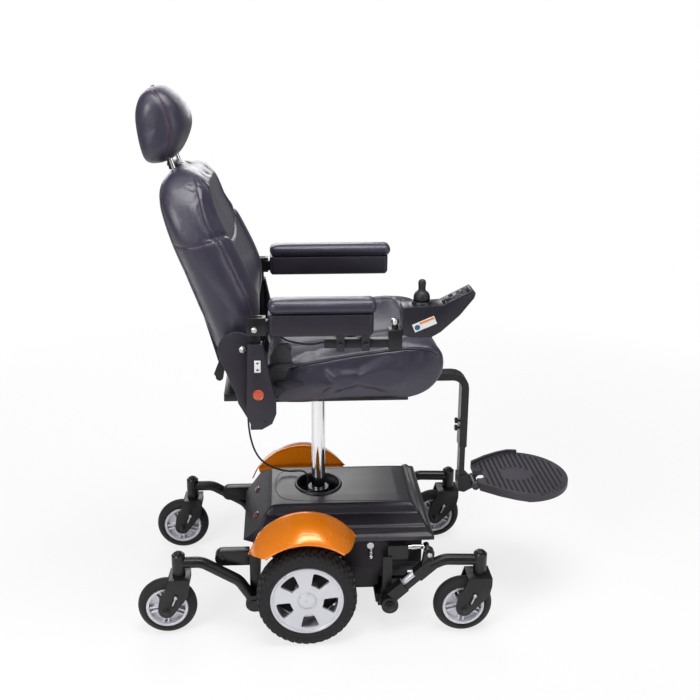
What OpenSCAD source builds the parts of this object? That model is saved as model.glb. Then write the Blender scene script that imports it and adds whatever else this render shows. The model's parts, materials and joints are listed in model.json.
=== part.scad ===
// Power wheelchair with a raised captain's seat, two drive wheels and four casters.
// Inside the part, X is measured forward from the drive axle, Y towards the user's left
// and Z up from the floor. chair() then moves the whole model so that the origin lies on
// the floor under the middle of the object.

/* [Drive wheels] */
// Radius of a drive wheel over its tyre
drive_r = 127; // [120:1:130]
// Radius of the drive rim
drive_rim_r = 92; // [86:1:94]
// Half width of a drive tyre
drive_half_w = 34; // [28:1:34]
// Distance of a drive wheel's middle plane from the centre line
drive_y = 253; // [253:1:254]

/* [Casters] */
// Radius of a caster wheel over its tyre
caster_r = 76; // [72:1:76]
// Radius of a caster rim
caster_rim_r = 54.6; // [50:0.2:56]
// Half width of a caster tyre
caster_half_w = 19; // [15:1:19]
// Rear caster stem, behind the axle
rear_stem_x = -325; // [-335:1:-320]
// Rear caster, distance from the centre line
rear_caster_y = 203; // [200:1:205]
// How far a rear caster wheel trails its stem
rear_trail = 32; // [28:1:36]
// Front caster stem, ahead of the axle
front_stem_x = 444; // [440:1:450]
// Front caster, distance from the centre line
front_caster_y = 228; // [226:1:232]
// How far a front caster wheel trails its stem
front_trail = 41; // [36:1:44]

/* [Base] */
// Height of the deck of the shroud at its crown
deck_z = 304; // [300:1:308]
// Half width of the shroud at its flange
shroud_half_w = 196; // [190:1:198]
// Thickness of the shroud's wall
shroud_wall = 4; // [3:0.5:5]
// Half width of the battery box
box_half_w = 184; // [170:1:186]
// Radius of the lift's opening in the deck
collar_r = 58; // [50:1:60]

/* [Seat lift] */
// Lift column, ahead of the axle
column_x = 40; // [38:1:44]
// Radius of the lift column
column_r = 18.5; // [17:0.5:19]

/* [Seat] */
// Half width of the seat cushion
cushion_half_w = 229; // [225:1:236]
// Inner face of an arm pad, from the centre line
arm_inner_y = 246; // [245:1:248]
// Outer face of an arm pad, from the centre line
arm_outer_y = 302; // [300:1:306]
// Front end of the right arm pad
right_pad_front_x = 163; // [150:1:170]
// Front end of the left arm pad
left_pad_front_x = 258; // [240:1:270]

/* [Footrest] */
// Front tip of the footplate
foot_tip_x = 727; // [720:1:735]
// Height of the footplate's top
foot_z = 320; // [316:1:324]

/* [Hidden] */
$fn = 48;
soft_fn = 24;

// Fits
run_fit = 0.05;
slide_fit = 0.3;

// The origin: half way from the back of the rear casters to the footplate's tip
rear_end_x = rear_stem_x - rear_trail - caster_r;
ref_x = (foot_tip_x + rear_end_x) / 2;

// Bottom of the chassis rails
frame_z = 60;

// Suspension pivots, in X and Z, and where the arms lie
front_pivot = [214, 78];
rear_pivot = [-133, 79];
pivot_bolt_r = 8;
arm_rod_r = 14;

// Caster swivels
barrel_r = 17;
barrel_z = 163.5;
barrel_top_z = 222;
stem_r = 10;
crown_z = 156;
crown_t = 6;
fork_inner = 24;
fork_outer = 30;
caster_axle_r = 5;

// Axles and the lift
drive_axle_r = 10;
lift_tube_r = 28;
lift_tube_top_z = 296;
column_low_z = 250;

// Seat hinges, in X and Z
recline_pivot = [-160, 786];
arm_pivot = [-118, 849];
foot_pivot = [470, 299];
hinge_pin_r = 6;
arm_pin_r = 5;
foot_pin_r = 5;

// Layers at the side of the seat, from the centre line outwards
back_plate_y = 243;
seat_plate_y = 249;
cover_plate_y = 254;
upright_y = 280;
side_cover_y = 272;
side_cover_face_y = 299;

// Footrest tubes, in X (thickness) and Y (width)
hanger_x = 432;
hanger_size = [20, 38];
hanger_wall = 2.6;
hanger_low_z = 412;

// Controller and its top faces
controller_y = (arm_inner_y + arm_outer_y) / 2;
stick_x = 266;
stick_z = 912;
ball_r = 19;
key_slope = 26.9;
key_start = [311, 902];

// Cables
seat_cable_r = 2.6;
seat_cable_route = [
  [-150, 50, 599.3], [-151, 50, 570], [-151, 50, 525], [-150, 50, 482], [-148, 51, 445],
  [-143, 53, 412], [-134, 55, 380], [-119, 57, 352], [-97, 59, 332], [-66, 60, 317],
  [-36, 60, 311], [-14, 57, 313], [0, 52, 314], [7, 47, 311], [12, 43, 302],
  [14, 40, 286], [14, 37, 262]
];
controller_cable_r = 2.4;
controller_cable_route = [
  [-66, -262, 832], [-60, -262, 821], [-46, -262, 811], [-24, -262, 804], [0, -262, 800],
  [20, -262, 800], [44, -262, 805], [70, -262, 811], [96, -262, 816], [120, -262, 821],
  [132, -262, 832]
];

function mid(a, b) = (a + b) / 2;
function unit(v) = v / norm(v);
function lerp(a, b, t) = a + (b - a) * t;
function rim_point(c, radius, a) = c + radius * [cos(a), sin(a)];

module chair() {
  translate([-ref_x, 0, 0]) children();
}

// Draws a left-hand part for side 1 and its mirror image for side -1.
module on_side(side) {
  if (side > 0) children();
  else mirror([0, 1, 0]) children();
}

// Turns a drawing in X and Z into a slab between two distances from the centre line.
module slab(y0, y1) {
  translate([0, y1, 0]) rotate([90, 0, 0]) linear_extrude(y1 - y0) children();
}

// A round bar across the chair at [x, z] between two distances from the centre line.
module cross_bar(at, r, y0, y1) {
  translate([at[0], y1, at[1]]) rotate([90, 0, 0]) cylinder(r = r, h = y1 - y0);
}

// A closed skin through equal rings of points, which run anticlockwise seen from the far
// end. Each end is closed by a strip across its ring.
module loft(rings) {
  n = len(rings);
  k = len(rings[0]);
  half = k / 2;
  walls = [for (i = [0 : n - 2], j = [0 : k - 1], up = [0, 1])
    let (a = i * k + j, b = i * k + (j + 1) % k)
    up == 0 ? [a, a + k, b + k] : [a, b + k, b]];
  strip = [for (j = [0 : half - 2], up = [0, 1])
    up == 0 ? [j, j + 1, k - 2 - j] : [j, k - 2 - j, k - 1 - j]];
  last = (n - 1) * k;
  ends = concat(strip, [for (t = strip) [last + t[0], last + t[2], last + t[1]]]);
  polyhedron([for (ring = rings, p = ring) p], concat(walls, ends), convexity = 6);
}

function round_section(r, sides) =
  [for (k = [0 : sides - 1]) r * [cos(360 * k / sides), sin(360 * k / sides)]];
function box_section(size) =
  [for (c = [[1, 1], [-1, 1], [-1, -1], [1, -1]]) [c[0] * size[0] / 2, c[1] * size[1] / 2]];

// A flat path with its corners rounded: a list of [point, direction].
function rounded_path(path, bend_r, steps) =
  let (n = len(path), go = [for (i = [0 : n - 2]) unit(path[i + 1] - path[i])])
  [for (i = [0 : n - 1])
    let (inner = i > 0 && i < n - 1,
         before = go[max(i - 1, 0)],
         after = go[min(i, n - 2)],
         turn = inner ? atan2(before[0] * after[1] - before[1] * after[0], before * after) : 0,
         cut = bend_r * tan(abs(turn) / 2),
         start = path[i] - before * cut,
         left = [-before[1], before[0]] * sign(turn))
    for (k = [0 : inner ? steps : 0])
      let (a = turn * k / steps,
           heading = [before[0] * cos(a) - before[1] * sin(a),
                      before[0] * sin(a) + before[1] * cos(a)])
      inner ? [start + before * bend_r * sin(abs(a)) + left * bend_r * (1 - cos(a)), heading]
            : [path[i], after]];

// A bar of one section bent along a path in X and Z, at a distance y from the centre line.
module bent_bar(path, bend_r, y, section) {
  loft([for (s = rounded_path(path, bend_r, 5))
    [for (c = section)
      [s[0][0] - s[1][1] * c[0], y - c[1], s[0][1] + s[1][0] * c[0]]]]);
}

// A round cable along a route in space.
module swept_cable(route, r) {
  n = len(route);
  along = [for (i = [0 : n - 1])
    unit(route[min(i + 1, n - 1)] - route[max(i - 1, 0)])];
  across = [for (i = [0 : n - 1]) unit(cross(along[i], [0.11, 0.97, 0.2]))];
  loft([for (i = [0 : n - 1])
    [for (c = round_section(r, 8))
      route[i] + c[0] * across[i] + c[1] * cross(along[i], across[i])]]);
}

// ---------------------------------------------------------------- base

module chassis_frame() color([0.09, 0.09, 0.1]) chair() {
  for (side = [-1, 1]) on_side(side) {
    translate([-145, 100, frame_z]) cube([435, 28, 24]);
    // support under the battery box
    translate([100, 100, frame_z + 20]) cube([85, 28, 25]);
    // front post with the lower pivot lug
    difference() {
      slab(194, 212) {
        translate([197, frame_z]) square([24, 142]);
        translate(front_pivot) circle(20);
        polygon([[186, 62], [214, 58], [234, 78], [221, 120], [197, 120]]);
      }
      cross_bar(front_pivot, pivot_bolt_r, 190, 216);
    }
    // bracket that carries the front strut
    translate([210, 194, 194]) cube([52, 14, 37]);
    // rear pivot lug and the bracket of the rear strut
    difference() {
      slab(172, 186) {
        translate(rear_pivot) circle(20);
        translate([-145, frame_z]) square([24, 150]);
      }
      cross_bar(rear_pivot, pivot_bolt_r, 168, 190);
    }
  }
  translate([182, -195, frame_z]) cube([30, 390, 24]);
  translate([-145, -173, frame_z]) cube([24, 346, 24]);
  // saddle that carries the lift's outer tube
  difference() {
    translate([column_x - 40, -101, frame_z]) cube([80, 202, 14]);
    translate([column_x, 0, frame_z - 1]) cylinder(r = lift_tube_r, h = 16);
  }
}

// Side outline of the shroud, moved inwards by t.
module shroud_side(t) {
  polygon([
    [-162 + t, 214], [-99 + t, 286 - t], [-88, 298 - t], [-60, deck_z - t],
    [250, deck_z - t], [283, 300 - t], [293 - t, 291 - t], [300 - t, 278 - t],
    [304 - t, 276 - t], [312 - t, 266 - t], [317 - t, 260 - t], [326 - t, 255 - t],
    [330 - t, 250 - t], [330 - t, 240],
    [130, 240], [90, 196], [-120, 196], [-120, 214]
  ]);
}

// Section of the shroud across the chair, moved inwards by t.
module shroud_section(t) {
  half = [
    [60, deck_z - 1 - t], [104, 300 - t], [114 - t, 292 - t], [121 - t, 279 - t],
    [125, 277 - t], [160, 266 - t], [166, 260 - t], [186, 257 - t],
    [shroud_half_w - t, 250 - t], [shroud_half_w - t, 195]
  ];
  polygon(concat(half, [for (i = [len(half) - 1 : -1 : 0]) [-half[i][0], half[i][1]]]));
}

// Plan outline of the shroud, narrower behind the fenders, moved inwards by t.
module shroud_plan(t) {
  half = [[-166, 130], [-136, 146], [-104, 164], [-84, shroud_half_w + 8], [340, shroud_half_w + 8]];
  offset(delta = -t)
    polygon(concat(half, [for (i = [len(half) - 1 : -1 : 0]) [half[i][0], -half[i][1]]]));
}

module shroud_solid(t) {
  intersection() {
    linear_extrude(400) shroud_plan(t);
    slab(-230, 230) shroud_side(t);
    translate([-200, 0, 0]) rotate([90, 0, 90]) linear_extrude(560) shroud_section(t);
  }
}

module body_shroud() color([0.15, 0.14, 0.17]) chair() {
  difference() {
    union() {
      shroud_solid(0);
      translate([column_x, 0, 280]) cylinder(r = collar_r + 6, h = 27);
    }
    difference() {
      shroud_solid(shroud_wall);
      translate([column_x, 0, 240]) cylinder(r = collar_r + 5, h = 70);
    }
    translate([0, 0, -1]) intersection() {
      shroud_solid(shroud_wall);
      translate([-200, -230, 190]) cube([560, 460, 40]);
    }
    translate([column_x, 0, 180]) cylinder(r = collar_r, h = 140);
  }
}

module battery_box() color([0.12, 0.11, 0.12]) chair() {
  slab(-box_half_w, box_half_w)
    polygon([[100, 105], [187, 105], [190, 145], [292, 145], [300, 153], [300, 238], [100, 238]]);
  slab(-150, 150) polygon([[150, 108], [262, 108], [270, 116], [270, 150], [150, 150]]);
  for (side = [-1, 1])
    translate([100, side * (box_half_w - 2), 158]) rotate([0, 90, 0])
      cylinder(r = 3, h = 198);
}

module gearmotors() color([0.2, 0.2, 0.21]) chair() {
  for (side = [-1, 1]) on_side(side) {
    cross_bar([0, drive_r], 38, 80, 150);
    cross_bar([0, drive_r], 46, 150, 196);
    cross_bar([0, drive_r], 24, 196, 214);
    cross_bar([0, drive_r], 90, 207, 213);
    cross_bar([0, drive_r], drive_axle_r, 214, drive_y + 22);
    translate([-30, 102, frame_z + 24]) cube([60, 24, 43]);
  }
}

module lift_outer_tube() color([0.1, 0.1, 0.11]) chair() {
  translate([column_x, 0, 0]) difference() {
    union() {
      translate([0, 0, 46]) cylinder(r = lift_tube_r - slide_fit, h = lift_tube_top_z - 46);
      translate([0, 0, frame_z + 14]) cylinder(r = lift_tube_r + 10, h = 6);
    }
    translate([0, 0, 49]) cylinder(r = column_r + slide_fit, h = lift_tube_top_z);
  }
}

// Fender: a shell lofted between a crest arc beside the shroud and an outer lip arc.
crest = [173, 153, 190];
lip = [128, 161, 283];
crest_low_y = 203;
crest_step = [250, 266];
crest_span = [-73, 56];
lip_span = [-40.5, 36];
fender_cols = 22;
fender_rows = 8;
fender_t = 3.5;

function crest_point(u) =
  let (a = lerp(crest_span[0], crest_span[1], u),
       z = crest[0] + crest[1] * cos(a),
       t = min(max((z - crest_step[0]) / (crest_step[1] - crest_step[0]), 0), 1))
  [crest[1] * sin(a), lerp(crest_low_y, crest[2], t * t * (3 - 2 * t)), z];
function lip_point(u) =
  let (a = lerp(lip_span[0], lip_span[1], u))
  [lip[1] * sin(a), lip[2], lip[0] + lip[1] * cos(a)];
function fender_point(u, v, drop) =
  let (p = crest_point(u), q = lip_point(u),
       bulge = [mid(p[0], q[0]) * 1.07, 256, max(p[2], q[2]) - 10],
       s = p * (1 - v) * (1 - v) + bulge * 2 * v * (1 - v) + q * v * v,
       inwards = unit([-s[0], (235 - s[1]) * 0.6, 120 - s[2]]))
  s + inwards * drop;

module fender_top() {
  loft([for (i = [0 : fender_cols])
    concat([for (j = [0 : fender_rows]) fender_point(i / fender_cols, j / fender_rows, fender_t)],
           [for (j = [fender_rows : -1 : 0])
             fender_point(i / fender_cols, j / fender_rows, 0)])]);
}

module fender(side) color([0.9, 0.42, 0.02]) chair() on_side(side) {
  fender_top();
  // wall beside the deck, stepped over the shroud's shoulder
  for (step = [[186.5, 191, 257.2, 330], [187, 199, 257.2, 262], [shroud_half_w, 199.5, 236, 261]])
    slab(step[0], step[1]) intersection() {
      translate([0, crest[0]]) circle(crest[1] - 1);
      translate([-127, step[2]]) square([250, step[3] - step[2]]);
    }
}
module fender_right() fender(-1);
module fender_left() fender(1);

// Struts for the arms' upper ends: chrome rods at the front and covered boxes at the rear.
module front_struts() color([0.75, 0.75, 0.77]) chair() {
  for (side = [-1, 1]) on_side(side) {
    translate([262, 201, 224]) rotate([0, 90, 0]) cylinder(r = 6, h = 46);
    translate([270, 201, 224]) rotate([0, 90, 0]) cylinder(r = 6.9, h = 14);
    cross_bar([310, 224], 9, 193, 213);
  }
}

module rear_struts() color([0.08, 0.08, 0.09]) chair() {
  for (side = [-1, 1]) on_side(side) {
    slab(158, 184) {
      translate([-214, 171]) square([69, 40]);
      translate([-214, 191]) circle(20);
    }
    cross_bar([-218, 193], 9, 183, 187);
  }
}

module arm_pivot_bolts() color([0.16, 0.16, 0.17]) chair() {
  for (side = [-1, 1]) on_side(side) {
    cross_bar(front_pivot, pivot_bolt_r, 196.5, 240);
    cross_bar(front_pivot, 12, 241, 246);
    cross_bar(front_pivot, pivot_bolt_r, 239, 242);
    cross_bar(rear_pivot, pivot_bolt_r, 174, 218.5);
    cross_bar(rear_pivot, 11, 218, 221);
  }
}

// ---------------------------------------------------------------- drive wheels

module drive_tyre(side) color([0.06, 0.06, 0.065]) chair() {
  shoulder = 16;
  translate([0, side * drive_y, drive_r]) rotate([90, 0, 0]) rotate_extrude() {
    translate([drive_rim_r + 0.1, -drive_half_w])
      square([drive_r - shoulder - drive_rim_r - 0.1, 2 * drive_half_w]);
    translate([drive_rim_r + 0.1, shoulder - drive_half_w])
      square([drive_r - drive_rim_r - 0.1, 2 * (drive_half_w - shoulder)]);
    for (y = [-1, 1])
      translate([drive_r - shoulder, y * (drive_half_w - shoulder)]) circle(shoulder);
  }
}
module drive_tyre_right() drive_tyre(-1);
module drive_tyre_left() drive_tyre(1);

module drive_rim(side) color([0.78, 0.78, 0.8]) chair() {
  face = 26;
  windows = 5;
  translate([0, 0, drive_r]) on_side(side) difference() {
    union() {
      // barrel, dished face and hub
      translate([0, drive_y + 28, 0]) rotate([90, 0, 0]) rotate_extrude() {
        translate([drive_rim_r - 7, 0]) square([7, 58]);
        translate([0, 2]) square([drive_rim_r - 3, 7]);
        translate([0, 0]) square([24, 4]);
        translate([0, 4]) square([30, 50]);
      }
    }
    for (i = [0 : windows - 1])
      rotate([0, 360 / windows * i + 30, 0])
        slab(drive_y - 40, drive_y + face + 10) rotate(90) offset(r = 5) offset(delta = -5)
          intersection() {
            difference() {
              circle(drive_rim_r * 0.85);
              circle(drive_rim_r * 0.46);
            }
            polygon(drive_rim_r * [[0.38, -0.11], [0.9, -0.29], [0.9, 0.29], [0.38, 0.11]]);
          }
    cross_bar([0, 0], drive_axle_r + run_fit, drive_y - 40, drive_y + 23);
  }
}
module drive_rim_right() drive_rim(-1);
module drive_rim_left() drive_rim(1);

// ---------------------------------------------------------------- casters and arms

module caster_tyre(x, y) color([0.07, 0.07, 0.075]) chair() {
  translate([x, y, caster_r]) rotate([90, 0, 0]) rotate_extrude() intersection() {
    translate([caster_r - caster_half_w, 0]) circle(caster_half_w);
    translate([caster_rim_r + 0.1, -caster_half_w]) square([caster_r, 2 * caster_half_w]);
  }
}

module caster_rim(x, y) color([0.74, 0.74, 0.76]) chair() {
  slots = 5;
  ring_half_w = 17;
  translate([x, y, caster_r]) difference() {
    rotate([90, 0, 0]) rotate_extrude() {
      translate([caster_rim_r - 9, -ring_half_w]) square([9, 2 * ring_half_w]);
      translate([0, -6]) square([caster_rim_r - 4, 12]);
      translate([0, -20]) square([15, 40]);
    }
    for (i = [0 : slots - 1])
      rotate([0, 360 / slots * i + 24, 0])
        translate([31, 0, 0]) cube([22, 20, 7], center = true);
    cross_bar([0, 0], caster_axle_r + run_fit, -30, 30);
  }
}

// Fork with its stem and axle bolt; the stem stands at x = 0 and the axle trails it.
module caster_fork(x, y, trail) color([0.08, 0.08, 0.09]) chair() {
  top_z = crown_z + crown_t;
  translate([x, y, 0]) {
    translate([8 - trail, -fork_outer, crown_z]) cube([trail + 20, 2 * fork_outer, crown_t]);
    translate([0, 0, crown_z + 1]) cylinder(r = stem_r, h = 209 - crown_z);
    for (side = [-1, 1]) on_side(side) {
      slab(fork_inner, fork_outer) {
        translate([-trail, caster_r]) circle(21);
        polygon([
          [8 - trail, top_z], [28, top_z], [28, 140], [22, 112], [16 - trail, 62],
          [-20.5 - trail, 71], [-21 - trail, 84], [-16 - trail, 112], [-trail, 136]
        ]);
      }
      cross_bar([-trail, caster_r], 8.5, fork_outer - 1, fork_outer + 4);
    }
    cross_bar([-trail, caster_r], caster_axle_r, -fork_outer, fork_outer);
  }
}

module caster_barrel(x, y) {
  translate([x, y, barrel_z]) cylinder(r = barrel_r, h = barrel_top_z - barrel_z - 4);
  translate([x, y, barrel_top_z - 5]) cylinder(r1 = barrel_r, r2 = barrel_r - 4, h = 5);
}
module caster_barrel_bore(x, y) {
  translate([x, y, barrel_z - 20]) cylinder(r = stem_r + run_fit, h = 68.5);
}

link_lean = 42.6;

module front_arm(side) color([0.08, 0.08, 0.09]) chair() on_side(side) difference() {
  union() {
    caster_barrel(front_stem_x, front_caster_y);
    bent_bar([[front_stem_x, 200], [352, 203], [316, 187]], 44, front_caster_y,
             round_section(arm_rod_r, 24));
    // flat link down to the lower pivot, with a block at each end and a damper between them
    slab(front_caster_y - 8, front_caster_y + 8) {
      translate(front_pivot) rotate(link_lean) translate([0, 0.5]) square([150, 14]);
      hull() {
        translate([308, 190]) circle(14);
        translate([312, 224]) circle(13);
      }
    }
    slab(front_caster_y - 13, front_caster_y + 11) translate(front_pivot) rotate(link_lean) {
      translate([18, -1]) square([46, 31]);
      translate([105, -2]) square([56, 31]);
    }
    translate([front_pivot[0], front_caster_y, front_pivot[1]]) rotate([0, -link_lean, 0])
      translate([60, 0, 21]) rotate([0, 90, 0]) cylinder(r = 7, h = 50);
    cross_bar(front_pivot, 22, front_caster_y - 14, front_caster_y + 12);
    cross_bar([312, 224], 8, front_caster_y + 7, front_caster_y + 12);
  }
  caster_barrel_bore(front_stem_x, front_caster_y);
  cross_bar(front_pivot, pivot_bolt_r + run_fit, 200, 260);
}
module front_arm_right() front_arm(-1);
module front_arm_left() front_arm(1);

module rear_arm(side) color([0.08, 0.08, 0.09]) chair() on_side(side) difference() {
  union() {
    caster_barrel(rear_stem_x, rear_caster_y);
    bent_bar([[rear_stem_x, 196], [-266, 196], [-172, 140], rear_pivot], 50,
             rear_caster_y, round_section(arm_rod_r, 24));
    cross_bar(rear_pivot, 23, rear_caster_y - 14.5, rear_caster_y + 14.5);
  }
  caster_barrel_bore(rear_stem_x, rear_caster_y);
  cross_bar(rear_pivot, pivot_bolt_r + run_fit, 180, 230);
}
module rear_arm_right() rear_arm(-1);
module rear_arm_left() rear_arm(1);

module front_fork_right() caster_fork(front_stem_x, -front_caster_y, front_trail);
module front_fork_left() caster_fork(front_stem_x, front_caster_y, front_trail);
module rear_fork_right() caster_fork(rear_stem_x, -rear_caster_y, rear_trail);
module rear_fork_left() caster_fork(rear_stem_x, rear_caster_y, rear_trail);
module front_caster_tyre_right() caster_tyre(front_stem_x - front_trail, -front_caster_y);
module front_caster_tyre_left() caster_tyre(front_stem_x - front_trail, front_caster_y);
module rear_caster_tyre_right() caster_tyre(rear_stem_x - rear_trail, -rear_caster_y);
module rear_caster_tyre_left() caster_tyre(rear_stem_x - rear_trail, rear_caster_y);
module front_caster_rim_right() caster_rim(front_stem_x - front_trail, -front_caster_y);
module front_caster_rim_left() caster_rim(front_stem_x - front_trail, front_caster_y);
module rear_caster_rim_right() caster_rim(rear_stem_x - rear_trail, -rear_caster_y);
module rear_caster_rim_left() caster_rim(rear_stem_x - rear_trail, rear_caster_y);

module freewheel_lever(side) color([0.1, 0.1, 0.1]) chair() on_side(side) {
  pivot = [166, 226];
  y = box_half_w + 7;
  cross_bar(pivot, 9, box_half_w + 1.5, box_half_w + 11);
  translate([pivot[0] + 2, y, 196]) cylinder(r = 3.6, h = 30);
  translate([pivot[0] + 2, y, 192]) sphere(r = 6);
  translate([pivot[0] + 2, y, 203]) sphere(r = 5);
}
module freewheel_lever_right() freewheel_lever(-1);
module freewheel_lever_left() freewheel_lever(1);

// ---------------------------------------------------------------- seat

module lift_column() color([0.85, 0.85, 0.87]) chair() {
  translate([column_x, 0, column_low_z]) cylinder(r = column_r, h = 620 - column_low_z);
}

module seat_frame() color([0.07, 0.07, 0.08]) chair() {
  pan_z = 630;
  translate([-118, -200, pan_z]) cube([370, 400, 8]);
  difference() {
    translate([column_x, 0, 575]) cylinder(r = 32, h = pan_z - 574);
    translate([column_x, 0, 570]) cylinder(r = column_r + 0.1, h = 50.1);
  }
  // rear cross tube and the box behind it
  translate([-131, -upright_y - 8, 598]) cube([26, 2 * (upright_y + 8), 34]);
  translate([-198, -190, 630]) cube([32, 380, 18]);
  for (side = [-1, 1]) on_side(side) {
    translate([-198, 150, 626]) cube([90, 16, 14]);
    // upright for the armrest
    difference() {
      slab(upright_y, upright_y + 8) {
        translate([arm_pivot[0] - 13, 600]) square([26, arm_pivot[1] - 600]);
        translate(arm_pivot) circle(13);
      }
      cross_bar(arm_pivot, arm_pin_r + run_fit, upright_y - 5, upright_y + 15);
    }
    // plate and pin of the recline hinge
    slab(seat_plate_y, seat_plate_y + 5) {
      translate(recline_pivot) circle(34);
      polygon([[-190, 770], [-127, 780], [-105, 627], [-105, 598], [-131, 598], [-160, 650]]);
    }
    cross_bar(recline_pivot, hinge_pin_r, back_plate_y - 2, seat_plate_y + 1);
  }
  // gland of the seat's cable
  translate([-160, 40, 600]) cube([30, 20, 12]);
  // bracket under the pan that takes the footrest hanger
  translate([220, -24, 603]) cube([60, 4.6, 28]);
  translate([220, 19.4, 603]) cube([60, 4.6, 28]);
}

module seat_cushion() color([0.2, 0.19, 0.23]) chair() difference() {
  y = cushion_half_w;
  hull() for (side = [-1, 1]) on_side(side) {
    translate([-62, y - 22, 649]) sphere(r = 22, $fn = soft_fn);
    translate([-62, y - 26, 712]) sphere(r = 24, $fn = soft_fn);
    translate([266, y - 26, 663]) sphere(r = 26, $fn = soft_fn);
    translate([292, y - 48, 732]) sphere(r = 48, $fn = soft_fn);
    translate([262, y - 60, 752]) sphere(r = 26, $fn = soft_fn);
    translate([190, 60, 750]) sphere(r = 34, $fn = soft_fn);
    translate([-50, 60, 738]) sphere(r = 26, $fn = soft_fn);
  }
  // recess that sits over the pan
  translate([-119, -201, 600]) cube([372, 402, 38]);
}

module seat_belt() color([0.1, 0.1, 0.11]) chair() {
  for (side = [-1, 1]) on_side(side) {
    top_z = side < 0 ? 798 : 736;
    translate([-98, 243, 662]) cube([66, 3, top_z - 662]);
    translate([-74, 245, top_z - 58]) cube([36, 12, 46]);
    translate([-98, 190, 622]) cube([20, 55, 4]);
    translate([-98, 241, 622]) cube([20, 4, 46]);
  }
}

module side_cover_outline() {
  polygon([
    [-134, 813], [-101, 813], [-70, 668], [-70, 642], [-80, 617], [-104, 603],
    [-127, 609], [-140, 640]
  ]);
}
module side_cover_core() {
  polygon([
    [-134, 806], [-103, 806], [-73, 668], [-73, 643], [-83, 620], [-104, 607],
    [-125, 612], [-137, 641]
  ]);
}

module side_cover(side) color([0.1, 0.1, 0.11]) chair() on_side(side) difference() {
  slab(side_cover_y, side_cover_face_y) side_cover_outline();
  slab(side_cover_y - 1, side_cover_face_y - 3) side_cover_core();
  translate([arm_pivot[0] - 14, upright_y - 2, 700]) cube([28, 12, 120]);
  translate([arm_pivot[0] - 14, side_cover_y - 1, 590]) cube([28, 18, 38]);
  if (side < 0) translate([-120.4, side_cover_face_y - 8, 744.6]) cube([16.8, 12, 31.8]);
}
module side_cover_right() side_cover(-1);
module side_cover_left() side_cover(1);

module lift_rocker() color([0.85, 0.85, 0.85]) chair() {
  difference() {
    translate([-120, -side_cover_face_y - 1.5, 745.5]) cube([16, 8, 30]);
    translate([-125, -296.5, 760.5]) rotate([0, 90, 0]) cylinder(r = 1.6, h = 30);
  }
}

module recline_covers() color([0.13, 0.13, 0.15]) chair() {
  tail = [-141, 640];
  r = 45;
  tail_r = 9;
  gap = norm(recline_pivot - tail);
  lean = asin((r - tail_r) / gap);
  heading = atan2(tail[1] - recline_pivot[1], tail[0] - recline_pivot[0]);
  for (side = [-1, 1]) on_side(side) slab(cover_plate_y, cover_plate_y + 8) {
    translate(recline_pivot) circle(r);
    translate(tail) circle(tail_r);
    polygon([
      rim_point(recline_pivot, r, heading + 90 - lean), rim_point(tail, tail_r, heading + 90 - lean),
      rim_point(tail, tail_r, heading - 90 + lean), rim_point(recline_pivot, r, heading - 90 + lean)
    ]);
  }
}

// ---------------------------------------------------------------- footrest

module footrest_hanger() color([0.07, 0.07, 0.08]) chair() difference() {
  bent_bar([[226, 616], [hanger_x, 616], [hanger_x, hanger_low_z]], 34, 0,
           box_section(hanger_size));
  translate([hanger_x, 0, mid(hanger_low_z - 2, 580)])
    cube([hanger_size[0] - 2 * hanger_wall, hanger_size[1] - 2 * hanger_wall,
          582 - hanger_low_z], center = true);
}

module footrest_tube() color([0.09, 0.09, 0.1]) chair() difference() {
  inner = [hanger_size[0] - 2 * hanger_wall - 2 * slide_fit,
           hanger_size[1] - 2 * hanger_wall - 2 * slide_fit];
  union() {
    translate([hanger_x - inner[0] / 2, -inner[1] / 2, 300]) cube([inner[0], inner[1], 212]);
    slab(-20, 20) {
      translate(foot_pivot) circle(10);
      polygon([
        [422, 296], [422, 326], [446, 326], [464, 307], [470, 299], [464, 291], [440, 278],
        [424, 282]
      ]);
    }
  }
  cross_bar(foot_pivot, foot_pin_r + run_fit, -30, 30);
}

module foot_outline() {
  round_r = 134;
  intersection() {
    translate([foot_tip_x - round_r, 0]) circle(round_r);
    translate([foot_tip_x - round_r - 4, -140]) square([150, 280]);
  }
  polygon([
    [474, -66], [520, -100], [560, -122], [foot_tip_x - round_r, -round_r],
    [foot_tip_x - round_r, round_r], [560, 122], [520, 100], [474, 66]
  ]);
}

module scaled_outline(size, centre_x) {
  translate([centre_x, 0]) scale(size) translate([-centre_x, 0]) foot_outline();
}

module footplate() color([0.16, 0.15, 0.17]) chair() {
  plate_t = 5;
  rib_step = 14;
  inset = 0.95;
  centre_x = mid(474, foot_tip_x);
  difference() {
    union() {
      translate([0, 0, foot_z - plate_t - 9]) linear_extrude(plate_t + 9) foot_outline();
      // raised walls beside the heels
      translate([0, 0, foot_z - 1]) linear_extrude(10) difference() {
        intersection() {
          foot_outline();
          translate([470, -140]) square([150, 280]);
        }
        scaled_outline(inset, centre_x);
        translate([460, -58]) square([30, 116]);
      }
      // tread ribs with a plain oval left between them
      difference() {
        intersection() {
          translate([0, 0, foot_z - 1]) linear_extrude(3) scaled_outline(0.93, centre_x);
          for (i = [0 : 16])
            translate([488 + rib_step * i, -130, foot_z - 2]) cube([7, 260, 8]);
        }
        translate([centre_x - 14, 0, foot_z]) cylinder(r = 38, h = 10);
      }
    }
    translate([0, 0, foot_z - plate_t - 20]) linear_extrude(20)
      scaled_outline(inset, centre_x);
    // gap round the pivot block
    translate([470, -21.5, foot_z - 30]) cube([26, 43, 60]);
  }
  // hinge ears and pin
  for (side = [-1, 1]) on_side(side) slab(21.5, 31) {
    translate(foot_pivot) circle(10);
    polygon([[472, 289], [470, 309], [486, 319], [530, 316], [530, 308], [488, 306]]);
  }
  cross_bar(foot_pivot, foot_pin_r, -30, 30);
}

// ---------------------------------------------------------------- backrest

back_lean = [-0.296, 0, 0.955];
back_bar = [-203, 716];

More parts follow.
